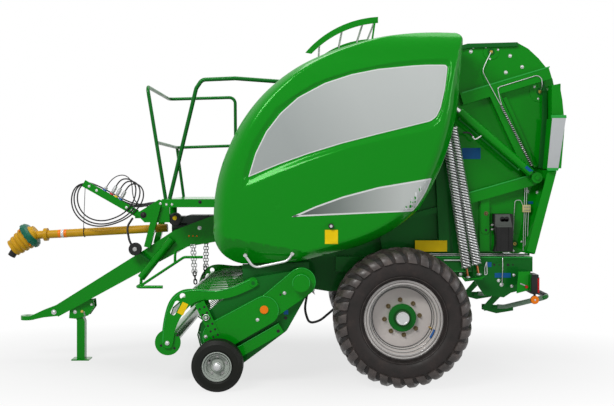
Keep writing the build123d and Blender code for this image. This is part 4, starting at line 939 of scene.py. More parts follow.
def lug(centre, shoulder, angle):
    """One curved bar that runs from the tread's middle over the shoulder."""
    outer = np.array(TYRE_HALF[:11])
    cumulative = np.concatenate([[0], np.cumsum(np.linalg.norm(np.diff(outer, axis=0), axis=1))])
    runs = 0.012 + (cumulative[-1] - 0.014) * LUG_RUN
    offsets, radii = (np.interp(runs, cumulative, column) for column in outer.T)
    normals = np.stack([-np.gradient(radii, runs), np.gradient(offsets, runs)], axis=1)
    normals /= np.linalg.norm(normals, axis=1)[:, None]
    vertices = []
    for t, offset, radius, normal in zip(LUG_RUN, offsets, radii, normals):
        turn = angle + LUG_SWEEP * t**0.85
        height = LUG_HEIGHT * (1 - 0.45 * max(0, t - 0.6) / 0.4)
        half = 0.02 + 0.013 * t
        for width, lift in LUG_SECTION:
            rise = lift * height if lift > 0 else lift
            r = min(radius + normal[1] * rise, TYRE_R - 0.0006)
            across = shoulder * (offset + normal[0] * rise)
            vertices.append(centre + upright(r, turn + width * half / r, across))
    faces = band_faces(len(LUG_RUN), len(LUG_SECTION))
    return vertices, faces if shoulder > 0 else [f[::-1] for f in faces]


def road_tyre(side_name, centre):
    section = [(-o, r) for o, r in TYRE_HALF[::-1]] + list(TYRE_HALF[1:])
    section += [TYRE_INNER, (-TYRE_INNER[0], TYRE_INNER[1])]
    turns = [math.tau * k / TYRE_STEPS for k in range(TYRE_STEPS)]
    vertices = [centre + upright(r, turn, offset) for offset, r in section for turn in turns]
    faces = [f[::-1] for f in band_faces(len(section), TYRE_STEPS, closed=True)]
    tyre = piece(f"tyre_road_{side_name}", "tyre", f"wheel_{side_name}", [(vertices, faces)], 32)
    tyre.data.materials.append(MATERIALS["tyre_groove"])
    # The tread's gaps between the lugs take the darker rubber: painted shade
    for polygon in tyre.data.polygons:
        place = polygon.center - centre
        if abs(place.y) < TREAD_HALF and math.hypot(place.x, place.z) > TREAD_LOW:
            polygon.material_index = 1
    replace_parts(tyre, f"tyre_{side_name}")
    lugs = []
    # The lugs take the lighter rubber: painted light on their faces
    for shoulder in (-1, 1):
        lugs += [lug(centre, shoulder, math.tau * (i + shoulder * LUG_SHIFT) / LUGS) for i in range(LUGS)]
    piece(f"tyre_lugs_{side_name}", "tyre_lug", f"wheel_{side_name}", lugs, 32)


def wheel_fittings(side_name, centre, out):
    """Nuts round the hub, the rim's steps as bright and dark rings (painted highlight and painted shade),
    lighter rings on the tyre's sidewall (painted highlight), the hub's ring, its recess as a dark disc
    (painted shade) and cap, the valve and the rim's plate.
    """
    body = f"wheel_{side_name}"
    nuts = []
    for k in range(NUTS):
        angle = math.pi / 2 - math.tau * k / NUTS - NUT_TURN
        nuts += nut(centre + out * 0.06 + upright(NUT_CIRCLE, angle), out, 0.0145, 0.018)
    piece(f"wheel_nuts_{side_name}", "rust_nut", body, nuts)
    for finish in ("rim_bright", "rim_groove"):
        rows = [row[1:] for row in RIM_RINGS if row[0] == finish]
        rings = [ring(centre + out * along, out, r, wire) for along, r, wire in rows]
        piece(f"{finish}_rings_{side_name}", finish, body, rings, 60)
    rings = [ring(centre + out * along, out, r, 0.0022, 96) for along, r in TYRE_RINGS]
    piece(f"tyre_rings_{side_name}", "tyre_lug", body, rings, 60)
    for name, finish, along, profile, count in HUB_PIECES:
        piece(f"{name}_{side_name}", finish, body, [turned(centre + out * along, out, profile, count)])
    valve = centre + Vector((0.222, 0, -0.08)) + out * 0.062
    stem = rod(valve, valve + out * 0.05 + Vector((0.012, 0, -0.004)), 0.007, 12, 0.001)
    piece(f"valve_{side_name}", "brass", body, [stem])
    vertices = []
    for degrees in RIM_PLATE_ANGLES:
        angle = math.radians(90 - degrees)
        low, high = (centre + out * along + upright(r, angle) for r, along in RIM_PLATE_EDGES)
        inner = [v - (v - centre - out * 0.13).normalized() * RIM_PLATE_THICK for v in (high, low)]
        vertices += [low, high, *inner]
    piece(f"rim_plate_{side_name}", "clip_blue", body, [(vertices, band_faces(len(RIM_PLATE_ANGLES), 4))])


for side_name, side in SIDES:
    wheel_middle = Vector((AXLE_X, -side * WHEEL_Y, TYRE_R))
    road_tyre(side_name, wheel_middle)
    wheel_fittings(side_name, wheel_middle, outward(side))

# ---------------------------------------------------------------- tension springs

SPRING_Y, SPRING_R, SPRING_WIRE, SPRING_PITCH, SPRING_STRANDS = 0.8, 0.0345, 0.008, 0.024, 4
SPRING_RUNS = (((1.5, 2.06), (1.67, 0.946)), ((1.553, 2.13), (1.758, 0.973)))  # (x, z) of each end
SPRING_FOOT = ((0, 0.028), (0.012, 0.03), (0.024, 0.014), (0.03, 0.008), (0.104, 0.008))
SPRING_HEAD = ((0, 0.024), (0.012, 0.026), (0.03, 0.01), (0.082, 0.008))

coils, spring_ends = [], []
for _, side in SIDES:
    for top, bottom in SPRING_RUNS:
        a, b = (Vector((x, -side * SPRING_Y, z)) for x, z in (top, bottom))
        down = (b - a).normalized()
        for strand in range(SPRING_STRANDS):
            phase = math.tau * strand / SPRING_STRANDS
            coils.append(coil(a, b, SPRING_R, SPRING_WIRE, SPRING_PITCH * SPRING_STRANDS, 28, 8, phase))
        spring_ends.append(turned(b - down * 0.012, down, SPRING_FOOT, 16))
        spring_ends.append(turned(a + down * 0.012, -down, SPRING_HEAD, 16))
        spring_ends.append(rod(a + down * 0.01, b - down * 0.01, 0.022, 14))
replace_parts(piece("spring_coils", "zinc", "chassis", coils, 60), "tension_springs")
piece("spring_ends", "spring_core", "chassis", spring_ends)

# ---------------------------------------------------------------- tailgate: flanges, pipes, bearings, wings

GATE_Y, GATE_BEAM_Y, BOX_Y = 0.67, 0.744, 0.709  # outer faces of the plate, its beams and the latch box
GATE_FACE, CHOCK_FACE, LUBE_Y, PIPE_R = GATE_Y + LAP, 0.7605, GATE_BEAM_Y + 0.008, 0.0036
BRAID = ((1.974, -LUBE_Y - 0.006, 2.328), (2.24, -LUBE_Y - 0.006, 1.806))
BEARINGS = ((1.907, 2.797, 0.07), (2.328, 2.452, 0.09), (2.111, 1.135, 0.09))  # (x, z, flange radius)
GATE_BOLTS = (
    (1.731, 2.8), (1.752, 2.842), (2.071, 2.763), (2.175, 2.667), (2.034, 2.62), (2.356, 1.838),
    (2.309, 1.579), (2.22, 1.589),
)  # fmt: skip

trim("tailgate", BOTH, panels=(
    ("shade_green", ((1.6, 2.838), (1.7, 2.866), (2.131, 2.878), (2.131, 2.842), (1.7, 2.828), (1.6, 2.8)),
     GATE_FACE, 0.026),
    ("shade_green", ((2.313, 1.79), (2.352, 1.79), (2.386, 2.212), (2.386, 2.47), (2.352, 2.54),
                     (2.345, 2.2)), GATE_FACE, 0.02),
    ("green", round_outline(1.811, 1.221, 1.885, 1.584, 0.036), 0.7005, 0.008),
    ("green", bar_outline((2.016, 2.4), (2.286, 1.8), 0.034), GATE_FACE, 0.03),
    # Lighter green strips along the beams' upper edges: painted highlight
    ("edge_green", bar_outline((1.64, 2.434), (2.396, 2.659), 0.011), GATE_BEAM_Y - 0.004, 0.008),
    ("edge_green", bar_outline((1.694, 1.575), (2.284, 1.744), 0.011), GATE_BEAM_Y - 0.004, 0.008),
    # Wing: outer flange, then the light board with its lips, whose lighter green is a painted highlight
    ("green", ((2.378, 2.236), (2.378, 2.489), (2.432, 2.492), (2.452, 2.45), (2.468, 2.36), (2.48, 2.236)),
     0.871, 0.004),
    ("green", ((2.343, 1.763), (2.42, 1.763), (2.237, 1.066), (2.166, 1.088)), 0.871, 0.004),
    ("grey_panel", ((2.327, 1.788), (2.42, 1.788), (2.484, 2.206), (2.368, 2.206)), 0.921, 0.004),
    ("edge_green", ((2.36, 2.206), (2.49, 2.206), (2.487, 2.232), (2.362, 2.232)), 0.912, 0.014, 0.003),
    ("edge_green", ((2.33, 1.764), (2.416, 1.764), (2.426, 1.788), (2.322, 1.788)), 0.912, 0.014, 0.003),
), discs=(
    *(("green", x, GATE_FACE, z, r, 0.004, 40) for x, z, r in BEARINGS),
    *(("shade_green", x, GATE_FACE + 0.004, z, 0.03, 0.004, 24) for x, z, _ in BEARINGS),
    # Thin black disc for a hole in the latch box: painted shade
    ("black", 1.856, BOX_Y, 1.255, 0.011, 0.001),
), domes=(
    *(("brass", x, GATE_FACE + 0.008, z, 0.01, 0.9) for x, z, _ in BEARINGS),
    *(("zinc", bolt_x, GATE_FACE + 0.004, bolt_z, 0.0075)
      for x, z, _ in BEARINGS for bolt_x, bolt_z in arc(x, z, 0.062, *np.degrees((0.3, 4.5)), 3)),
    *(("zinc", x, GATE_FACE, z, 0.012) for x, z in GATE_BOLTS),
))  # fmt: skip
for side in BOTH:
    fit("tailgate", "rust_nut", *nut((1.856, -side * BOX_Y, 1.399), outward(side), 0.014, 0.012))

# Lube pipes, the blank plates, the distribution block and the wheel chock's tread are on the left
trim("tailgate", LEFT, panels=(
    ("blue_plate", box_outline(1.655, 1.869, 1.815, 1.965), GATE_FACE, 0.0015, 0.0004),
    ("blue_plate", box_outline(2.226, 1.48, 2.27, 1.502), GATE_FACE, 0.0015, 0.0004),
    ("manifold", box_outline(2.175, 1.409, 2.241, 1.472), GATE_FACE, 0.038, 0.004),
    ("speckled", ((1.922, 1.29), (1.96, 1.288), (2.07, 1.292), (2.048, 1.394), (1.925, 1.392)), CHOCK_FACE),
    ("speckled", box_outline(1.934, 1.282, 2.072, 1.294), CHOCK_FACE, 0.008),
    # Thin black slot with round ends for the opening through the chock: painted shade
    ("black", box_outline(1.974, 1.33, 2.034, 1.352), 0.764, 0.001, 0),
    ("black", box_outline(1.938, 1.078, 1.966, 1.284), CHOCK_FACE, 0.006),
    ("black", box_outline(2.04, 1.078, 2.07, 1.284), CHOCK_FACE, 0.006),
), discs=(
    *(("steel", x, BOX_Y, z, 0.006, 0.004, 12) for x in (2.19, 2.208, 2.226) for z in (1.427, 1.454)),
    # Round ends of the chock's dark slot: painted shade
    ("black", 1.985, 0.764, 1.352, 0.022, 0.001), ("black", 2.022, 0.764, 1.352, 0.022, 0.001),
), pipes=[("zinc", PIPE_R, route) for route in (
    ((1.906, 0.682, 2.8), (1.85, 0.69, 2.69), (1.826, 0.7, 2.625), (1.88, LUBE_Y, 2.5),
     (1.974, LUBE_Y, 2.328)),
    ((2.328, 0.682, 2.452), (2.33, LUBE_Y, 2.49), (2.324, LUBE_Y, 2.56), (2.287, LUBE_Y, 2.585),
     (1.943, LUBE_Y, 2.48), (1.979, LUBE_Y, 2.333)),
    ((2.091, 0.678, 1.143), (2.108, 0.69, 1.5), (2.126, 0.69, 1.514), (2.161, 0.69, 1.512),
     (2.176, 0.69, 1.47)),
    *(((x, 0.69, 1.47), (x + 0.004, 0.69, 1.6), (x + 0.006, 0.7, top))
      for x, top in ((2.19, 1.68), (2.208, 1.7))),
    *(((x + 0.006, 0.69, 1.412), (x, 0.69, 1.25), (x - 0.004, 0.69, low))
      for x, low in ((2.184, 1.074), (2.2, 1.066), (2.22, 1.082))),
)])  # fmt: skip
fit("tailgate", "zinc", coil(*BRAID, 0.0105, PIPE_R, 0.018, 10))
fit("tailgate", "black", rod(*BRAID, 0.006, 8))
for z in (1.262, 1.3):
    fit("tailgate", "steel", rod((1.896, -0.715, z), (1.916, -0.715, z), 0.01, 12, 0.002))

# ---------------------------------------------------------------- cylinders

RAM_Y = 0.8
RAM_START, RAM_END = Vector((2.268, 0, 1.706)), Vector((1.42, 0, 2.435))
RAM_RUN = (RAM_END - RAM_START).normalized()
RAM_UNDER = Vector((-RAM_RUN.z, 0, RAM_RUN.x))
RAM_PIPE, RAM_PIPE_OFF = (0.16, 0.83), 0.052  # the pipe's ends along the ram, and how far below its axis
RAM_BANDS = ((0.062, 0.0405), (0.845, 0.0415))  # (distance along, radius)

for side_name, side in SIDES:
    body = f"ram_barrel_{side_name}"
    foot = RAM_START + outward(side) * RAM_Y
    ends = [foot + RAM_RUN * along + RAM_UNDER * RAM_PIPE_OFF for along in RAM_PIPE]
    fit(body, "deep_green", tube_mesh(ends, 0.009))
    for end in ends:
        fit(body, "deep_green", rod(end - RAM_UNDER * 0.022, end + RAM_UNDER * 0.004, 0.012))
    for along, r in RAM_BANDS:
        band = ((0, r - 0.002), (0.002, r), (0.018, r), (0.02, r - 0.002))
        fit(body, "green", turned(foot + RAM_RUN * along, RAM_RUN, band, 28))
trim("ram_barrel_left", LEFT, panels=(
    ("blue_plate", bar_outline((2.168, 1.8), (2.22, 1.755), 0.026), 0.8375, 0.0015, 0),
), pipes=(
    ("hose", 0.008, ((1.64, 0.812, 2.09), (1.69, 0.812, 2.092), (1.722, 0.806, 2.06))),
    ("zinc", 0.007, ((1.715, 0.806, 2.066), (1.74, 0.806, 2.03), (1.77, 0.806, 2.046),
                     (1.806, 0.806, 2.072))),
))  # fmt: skip

# ---------------------------------------------------------------- chassis at the rear, lamps, bale kicker

BEAM_LINE_Y, REAR_FACE = 0.738, 0.7503  # just under the side beam's face, and just off the rear plate's
LAMP_Y, SPRING_SHOES = 0.9, (((1.6716, 0.935), (1.6838, 0.855)), ((1.76, 0.962), (1.7746, 0.879)))
BEAM_HOLES = ((1.918, 0.01), (1.96, 0.006), (2.036, 0.012), (2.078, 0.007))  # (x, radius) of black discs that stand for holes in the beam: painted shade
BEAM_BOLTS = ((1.629, 0.878), (1.955, 0.825), (2.067, 0.778), (2.085, 0.872), (2.178, 0.88))

trim("chassis", BOTH, panels=(
    # Sheet between chamber wall and tailgate plate: behind the wall, and over the beam
    ("shade_green", box_outline(1.576, 1.03, 1.668, 1.5), 0.6412, 0.0075, 0),
    ("shade_green", ((1.668, 1.03), (2.246, 1.03), (2.246, 1.066), (2.222, 1.066), (2.2, 1.048),
                     (2.022, 1.048), (2.0, 1.066), (1.668, 1.066)), 0.6412, 0.0075, 0),
    # Lighter green strips along the beam's edges: painted highlight
    ("edge_green", box_outline(1.3, 1.02, 2.246, 1.028), BEAM_LINE_Y, 0.006),
    ("edge_green", box_outline(1.3, 0.9, 1.73, 0.907), BEAM_LINE_Y, 0.006),
    ("green", ((1.606, 0.884), (1.652, 0.826), (1.79, 0.842), (1.832, 0.884), (1.786, 0.862), (1.66, 0.848)),
     0.836, 0.008),
    # Lamp housing's cheek, and the small reflector on its side
    ("green", ((2.06, 0.741), (2.171, 0.77), (2.171, 0.923), (2.075, 0.923)), 0.96, 0.005),
    ("red", round_outline(2.226, 0.75, 2.24, 0.872, 0.006), 1.001, 0.004),
    # Dark panel over the pickup
    ("shade_green", ((-0.225, 0.8), (0.33, 0.8), (0.33, 1.0), (-0.225, 0.985)), 0.945, 0.008),
), discs=(
    # Black discs for the beam's holes: painted shade
    *(("black", x, REAR_FACE, 0.96, r, 0.0008, 20) for x, r in BEAM_HOLES),
    ("red", 2.142, 0.966, 0.796, 0.013, 0.01),
    ("orange", 2.205, 0.99, 0.691, 0.034, 0.012, 32), ("black", 2.205, 0.982, 0.691, 0.036, 0.008, 32),
), domes=(
    *(("zinc", x, REAR_FACE, z, 0.011) for x, z in BEAM_BOLTS),
    ("zinc", 2.205, 1.002, 0.691, 0.006),
))  # fmt: skip
for side in BOTH:
    y = -side * LAMP_Y
    fit("chassis", "black", slab(box_outline(2.174, 0.736, 2.236, 0.886), y - 0.103, y + 0.103, 0.016))
    fit("chassis", "red", slab(box_outline(2.2345, 0.744, 2.2445, 0.878), y - 0.094, y + 0.094, 0.003))
    fit("chassis", "black", rod((2.205, -side * 0.986, 0.7), (2.205, -side * 0.986, 0.745), 0.01, 10))
    fit("chassis", "steel", rod((2.089, -side * 0.966, 0.824), (2.13, -side * 0.966, 0.808), 0.006, 10))
    for ends in SPRING_SHOES:
        top, bottom = (Vector((x, -side * SPRING_Y, z)) for x, z in ends)
        fit("chassis", "copper", rod(top, bottom, 0.0105))
        fit("chassis", "zinc", *nut(bottom, top - bottom, 0.018, 0.014))
trim("chassis", LEFT, panels=(
    ("blue_plate", box_outline(1.856, 0.941, 1.894, 0.982), REAR_FACE, 0.0015, 0),
    ("blue_plate", box_outline(1.922, 0.85, 2.06, 0.89), REAR_FACE, 0.0015, 0),
    ("yellow_plate", box_outline(1.243, 1.07, 1.519, 1.166), 0.7105, 0.002, 0),
), domes=(("zinc", 1.98, REAR_FACE, 0.79, 0.013),), pipes=(
    ("white", 0.0055, ((1.486, 0.752, 0.999), (1.6, 0.754, 0.999), (1.751, 0.752, 0.999))),
    ("white", PIPE_R, ((1.85, 0.756, 0.985), (1.834, 0.756, 0.93), (1.836, 0.756, 0.872),
                       (1.856, 0.756, 0.88), (1.852, 0.756, 0.985)), 0.01),
    ("zinc", 0.004, ((1.2, 0.7, 1.049), (1.7, 0.7, 1.049), (2.214, 0.7, 1.049))),
    ("zinc", 0.004, ((1.2, 0.7, 1.036), (1.7, 0.7, 1.036), (2.19, 0.7, 1.036))),
    ("zinc", PIPE_R, ((2.0, 0.72, 1.036), (1.988, 0.756, 1.02), (1.988, 0.758, 0.9), (1.982, 0.756, 0.792))),
    # Short hose behind the pickup
    ("hose", 0.01, ((0.33, 0.88, 0.82), (0.292, 0.93, 0.6), (0.33, 0.95, 0.49), (0.42, 0.95, 0.51),
                     (0.56, 0.9, 0.62), (0.6, 0.88, 0.82)), 0.05),
))  # fmt: skip
trim("bale_kicker", BOTH, pipes=(
    ("pale_green", 0.0225, ((2.0, 0.47, 0.562), (2.06, 0.47, 0.557), (2.4, 0.47, 0.639))),
))  # fmt: skip
fit("bale_kicker", "black", tube_mesh([(2.4525, -0.4, 0.65), (2.4525, 0.4, 0.65)], 0.0235, 16))

# ---------------------------------------------------------------- windguard

GUARD_Y, GUARD_PLATE = 1.092, 0.012
GUARD_IN = GUARD_Y - GUARD_PLATE
GUARD_ARM = (
    (-0.1, 0.815), (-0.09, 0.85), (-0.105, 0.88), (-0.15, 0.884), (-0.29, 0.815), (-0.432, 0.78),
    (-0.64, 0.795), (-0.74, 0.77), (-0.81, 0.7), (-0.85, 0.59), (-0.874, 0.44), (-0.876, 0.352),
    (-0.85, 0.312), (-0.806, 0.312), (-0.784, 0.352), (-0.765, 0.46), (-0.715, 0.57), (-0.64, 0.66),
    (-0.56, 0.7), (-0.432, 0.705), (-0.28, 0.735),
)  # fmt: skip
GUARD_HOLES = (
    arc(-0.706, 0.735, 0.024, 0, 345, 24),
    [(-0.767 + x * 0.9 + z * 0.43, 0.637 - x * 0.43 + z * 0.9)
     for x, z in round_outline(-0.023, -0.064, 0.023, 0.064, 0.022)],
)  # fmt: skip
GUARD_SHEET = (
    (-0.714, 0.704), (-0.79, 0.64), (-0.815, 0.56), (-0.807, 0.558), (-0.782, 0.634), (-0.708, 0.694),
)  # fmt: skip
GUARD_TINE = (
    (-0.702, 0.718), (-0.64, 0.742), (-0.56, 0.764), (-0.25, 0.756), (-0.25, 0.746), (-0.56, 0.75),
    (-0.64, 0.724), (-0.69, 0.696),
)  # fmt: skip
GUARD_RIM = (  # raised line along the arm's upper edge, in lighter green: a painted highlight
    (-0.115, 0.845), (-0.15, 0.87), (-0.285, 0.806), (-0.432, 0.77), (-0.632, 0.784), (-0.73, 0.76),
    (-0.8, 0.694), (-0.84, 0.588), (-0.863, 0.44), (-0.866, 0.352),
)  # fmt: skip
TINES, TINE_PITCH = 15, 0.128


def smooth_outline(corners, steps=4):
    """A closed spline through (x, z) corners."""
    table = np.array(corners)
    points = []
    for k in range(len(table)):
        p0, p1, p2, p3 = (table[(k + n) % len(table)] for n in (-1, 0, 1, 2))
        for t in np.arange(steps) / steps:
            square, cubic = 2 * p0 - 5 * p1 + 4 * p2 - p3, 3 * p1 - p0 - 3 * p2 + p3
            points.append(tuple(p1 + ((p2 - p0) * t + square * t**2 + cubic * t**3) / 2))
    return points


def holed_plate(outline, holes, near, far):
    """A flat plate with see-through holes between two y values."""
    loops = [outline, *holes]
    triangles = tessellate_polygon([[Vector((x, z, 0)) for x, z in points] for points in loops])
    flat = [p for points in loops for p in points]
    count = len(flat)
    vertices = [Vector((x, y, z)) for y in (near, far) for x, z in flat]
    faces = [tuple(t) for t in triangles] + [tuple(i + count for i in reversed(t)) for t in triangles]
    start = 0
    for points in loops:
        for k in range(len(points)):
            i, j = start + k, start + (k + 1) % len(points)
            faces.append((i, j, j + count, i + count))
        start += len(points)
    return vertices, faces


arm = smooth_outline(GUARD_ARM)
guard_parts = [holed_plate(arm, GUARD_HOLES, -side * GUARD_IN, -side * GUARD_Y) for side in BOTH]
guard_parts.append(rod((-0.7, -GUARD_IN, 0.7), (-0.7, GUARD_IN, 0.7), 0.024, 20))
guard_parts.append(slab(GUARD_SHEET, 0.02 - GUARD_IN, GUARD_IN - 0.02, 0))
for k in range(TINES):
    y = (k - (TINES - 1) / 2) * TINE_PITCH
    guard_parts.append(slab(GUARD_TINE, y - 0.005, y + 0.005, 0.001))
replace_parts(piece("windguard_frame", "green", "windguard", guard_parts, 30), "windguard")
trim("windguard", BOTH, discs=(("green", -0.127, GUARD_Y, 0.842, 0.036, 0.005),),
     domes=(("zinc", -0.83, GUARD_Y + 0.008, 0.352, 0.014),))  # fmt: skip
trim("windguard", LEFT, panels=(
    ("yellow_plate", ((-0.704, 0.688), (-0.658, 0.668), (-0.702, 0.576), (-0.75, 0.6)),
     GUARD_Y + LAP, 0.0015, 0),
))  # fmt: skip
# Lighter tubes along the arm's upper edge: painted highlight
for side in BOTH:
    rim = rounded_path([(x, -side * (GUARD_Y + 0.001), z) for x, z in GUARD_RIM], 0.03)
    fit("windguard", "edge_green", tube_mesh(rim, 0.004, 8))

# ---------------------------------------------------------------- pickup, crop roller and gauge wheels

COVER_Y, ADJUST_Y = 1.146, 1.156  # outer faces of the drive cover and of the adjusting plate
RING_PIN = (-0.504, 0.573)
COVER_EDGES = (  # (distance of the face, points) along the drive cover's upper edges, where lighter tubes are a painted highlight
    (COVER_Y, arc(-0.41, 0.415, 0.121, 205, 119) + arc(-0.032, 0.625, 0.114, 119, -20)),
    (1.126, [(-0.09, 0.7)] + arc(0.268, 0.853, 0.114, 127, -45)),
    (1.2, arc(0.268, 0.853, 0.07, 200, -20)),
)
# Black discs stand for the adjusting plate's holes: painted shade
ADJUST_HOLES = [(-0.34 - 0.022 * k + shift, 0.24 + 0.045 * k + shift / 2)
                for k in range(1, 10) for shift in (-0.018, 0.018)]  # fmt: skip
GAUGE_WHEEL = (-0.4, 1.262, 0.205)
GAUGE_DISH = (  # (distance out from the wheel's middle, radius)
    (0.0, 0.095), (0.03, 0.098), (0.066, 0.118), (0.074, 0.118), (0.076, 0.112), (0.05, 0.1), (0.02, 0.092),
    (0.014, 0.06), (0.03, 0.052), (0.034, 0.05), (0.034, 0.0),
)  # fmt: skip
GAUGE_CAP = ((0, 0.034), (0.004, 0.034), (0.006, 0.026), (0.02, 0.026), (0.026, 0.018), (0.027, 0.0))

# Black discs where there are holes: painted shade
trim("crop_roller", BOTH, discs=[
    ("black", x, 1.0722, z, 0.011, 0.0006, 16) for x, z in ((-0.751, 0.411), (-0.885, 0.326), (-0.775, 0.304))
])  # fmt: skip
trim("pickup", BOTH, discs=(
    # Thin black discs stand for holes: painted shade
    ("black", 0.08, 1.1322, 0.455, 0.014, 0.0008, 20),
    *(("black", x, ADJUST_Y + 0.0002, z, 0.0095, 0.0006, 16) for x, z in ADJUST_HOLES),
), domes=(("zinc", -0.408, ADJUST_Y + 0.0003, 0.33, 0.012), ("zinc", -0.37, ADJUST_Y + 0.0003, 0.268, 0.012)))
trim("pickup", LEFT, panels=(
    ("clip_blue", box_outline(0.124, 0.582, 0.16, 0.618), 1.0725, 0.0008, 0),
), discs=(
    ("orange", -0.034, COVER_Y + LAP, 0.631, 0.034, 0.01, 32),
    # The thin black discs here stand for holes: painted shade
    ("black", 0.098, 1.1263, 0.751, 0.008, 0.001, 16), ("black", 0.138, 1.0725, 0.553, 0.014, 0.0008, 20),
), domes=(
    ("zinc", -0.088, COVER_Y + LAP, 0.55, 0.011), ("zinc", -0.5095, COVER_Y + LAP, 0.412, 0.011),
    ("zinc", 0.13, 1.1265, 0.765, 0.011),
))  # fmt: skip
for y, points in COVER_EDGES:
    fit("pickup", "edge_green", tube_mesh([(x, -y - LAP, z) for x, z in points], 0.0035, 8))
for side_name, side in SIDES:
    out = outward(side)
    # A lighter tube along an edge: painted highlight
    edge = [Vector((x, 0, z)) + out * 1.1325 for x, z in ((0.084, 0.516), (-0.351, 0.267))]
    fit("pickup", "edge_green", tube_mesh(edge, 0.0035, 8))
    pin = Vector((RING_PIN[0], 0, RING_PIN[1]))
    fit("pickup", "zinc", rod(pin + out * (ADJUST_Y + 0.03), pin + out * 1.12, 0.012, 14, 0.002))
    ring_points = [(x, -side * (ADJUST_Y + 0.016), z) for x, z in arc(*RING_PIN, 0.024, 0, 345, 24)]
    fit("pickup", "zinc", tube_mesh(ring_points, 0.0028, 8, closed=True))
    body = f"gauge_wheel_{side_name}"
    centre = Vector((GAUGE_WHEEL[0], -side * GAUGE_WHEEL[1], GAUGE_WHEEL[2]))
    fit(body, "gauge_rim", turned(centre, out, GAUGE_DISH, 48))
    fit(body, "zinc", turned(centre + out * 0.052, out, GAUGE_CAP))
    for x, z in arc(0, 0, 0.074, math.degrees(0.3), math.degrees(0.3) + 288, 5):
        fit(body, "steel", *bolt(centre + out * 0.0165 + Vector((x, 0, z)), out, 0.0085, 0.01))
    stem = centre + out * 0.04 + Vector((-0.058, 0, 0.046))
    fit(body, "black", rod(stem, stem + out * 0.034, 0.007, 12, 0.001))

# ---------------------------------------------------------------- drive shaft, drawbar and couplers

CONE_BACK, CONE_RUN = Vector((-2.282, 0, 1.18)), Vector((-0.7986, 0, -0.6018))
SHAFT_FRONT, SHAFT_RUN = Vector((-2.235, 0, 1.171)), Vector((1.25, 0, 0.069)).normalized()
COLLAR = ((-0.014, 0.07), (-0.014, 0.104), (0.0, 0.1215), (0.03, 0.125), (0.04, 0.1215), (0.042, 0.11))
HOLDER_LEFT, HOLDER_RUN = Vector((-1.778, -0.066, 1.66)), Vector((0.8695, 0, -0.494))
COUPLER_UP = Vector((0.494, 0, 0.8695))
COUPLERS = ((0.205, "clip_blue"), (0.278, "clip_red"), (0.326, "yellow_plate"), (0.375, "clip_blue"))
COUPLER_CLIP = ((0, 0.018), (0.002, 0.0195), (0.012, 0.0195), (0.014, 0.018))
COUPLER_NUT = ((0, 0.0185), (0.014, 0.0185), (0.016, 0.0165))
COUPLER_PLUG = (
    (0, 0.0165), (0.002, 0.0185), (0.01, 0.0185), (0.012, 0.0165), (0.02, 0.0165), (0.022, 0.0185),
    (0.03, 0.0185), (0.032, 0.016),
)  # fmt: skip

trim("chassis", BOTH, domes=(
    ("zinc", -1.862, 0.0535, 0.454, 0.013), ("brass", -1.797, 0.0535, 0.459, 0.01),
    ("zinc", -1.708, 0.0535, 0.524, 0.009),
))  # fmt: skip
trim("chassis", LEFT, discs=(
    ("black", -0.903, 0.2105, 1.322, 0.052, 0.006, 32),
    ("yellow_plate", -0.903, 0.2165, 1.3395, 0.02, 0.006, 24),
    ("black", -1.248, 0.29, 1.062, 0.058, 0.04, 36), ("steel", -1.248, 0.33, 1.062, 0.02, 0.006, 20),
), domes=(
    ("black", -1.1892, 0.2305, 1.3677, 0.022), ("zinc", -2.0611, 0.0505, 0.4521, 0.018),
    ("zinc", -1.0258, 0.2705, 1.474, 0.009), ("zinc", -0.9144, 0.6185, 1.4737, 0.008),
    ("zinc", -0.8664, 0.6185, 1.4737, 0.008), ("zinc", -0.6779, 0.2105, 1.2476, 0.013),
    ("orange", -0.7743, 0.2105, 1.1742, 0.006), ("orange", -0.7376, 0.2105, 1.1742, 0.006),
    ("orange", -0.7009, 0.2105, 1.1742, 0.006), ("black", -0.6221, 0.6185, 1.4955, 0.012),
), pipes=(
    ("hose", 0.01, ((-1.285, 0.24, 1.34), (-1.33, 0.285, 1.26), (-1.3, 0.312, 1.13), (-1.256, 0.318, 1.068)),
     0.06),
))  # fmt: skip
fit("chassis", "deep_green", rod((-1.248, -0.3, 1.062), (-1.1, -0.25, 0.93), 0.012, 10))
fit("chassis", "collar", turned(CONE_BACK, CONE_RUN, COLLAR, 40))
for place in circle(CONE_BACK + CONE_RUN * 0.014, CONE_RUN, 0.116, 14):
    fit("chassis", "collar", rod(place, place + CONE_RUN * 0.03, 0.013, 12, 0.004))
for place in circle(CONE_BACK + CONE_RUN * 0.044, CONE_RUN, 0.119, 4, 0.5):
    fit("chassis", "orange", rod(place, place + CONE_RUN * 0.014, 0.008, 10, 0.002))
for i, finish in enumerate(("orange", "white", "orange")):
    start = SHAFT_FRONT + SHAFT_RUN * (0.204 + 0.027 * i)
    fit("chassis", finish, rod(start, start + SHAFT_RUN * 0.027, 0.0395, 32, 0.001))
fit("chassis", "steel", *chain_links((-1.775, -0.06, 0.452), (-1.755, -0.06, 0.345), 8, 0.018, 0.0018, 0.01))
for along, clip in COUPLERS:
    foot = HOLDER_LEFT + HOLDER_RUN * along + COUPLER_UP * 0.035
    fit("chassis", clip, turned(foot, COUPLER_UP, COUPLER_CLIP, 20))
    fit("chassis", "steel", turned(foot + COUPLER_UP * 0.014, COUPLER_UP, COUPLER_NUT, 6))
    if along > COUPLERS[0][0]:
        fit("chassis", "zinc", turned(foot + COUPLER_UP * 0.038, COUPLER_UP, COUPLER_PLUG))
for along in (0.06, 0.14, 0.46, 0.52):
    place = HOLDER_LEFT + HOLDER_RUN * along + outward(1) * 0.0062
    fit("chassis", "zinc", *bolt(place, outward(1), 0.0085, 0.007))

# ---------------------------------------------------------------- lift chains

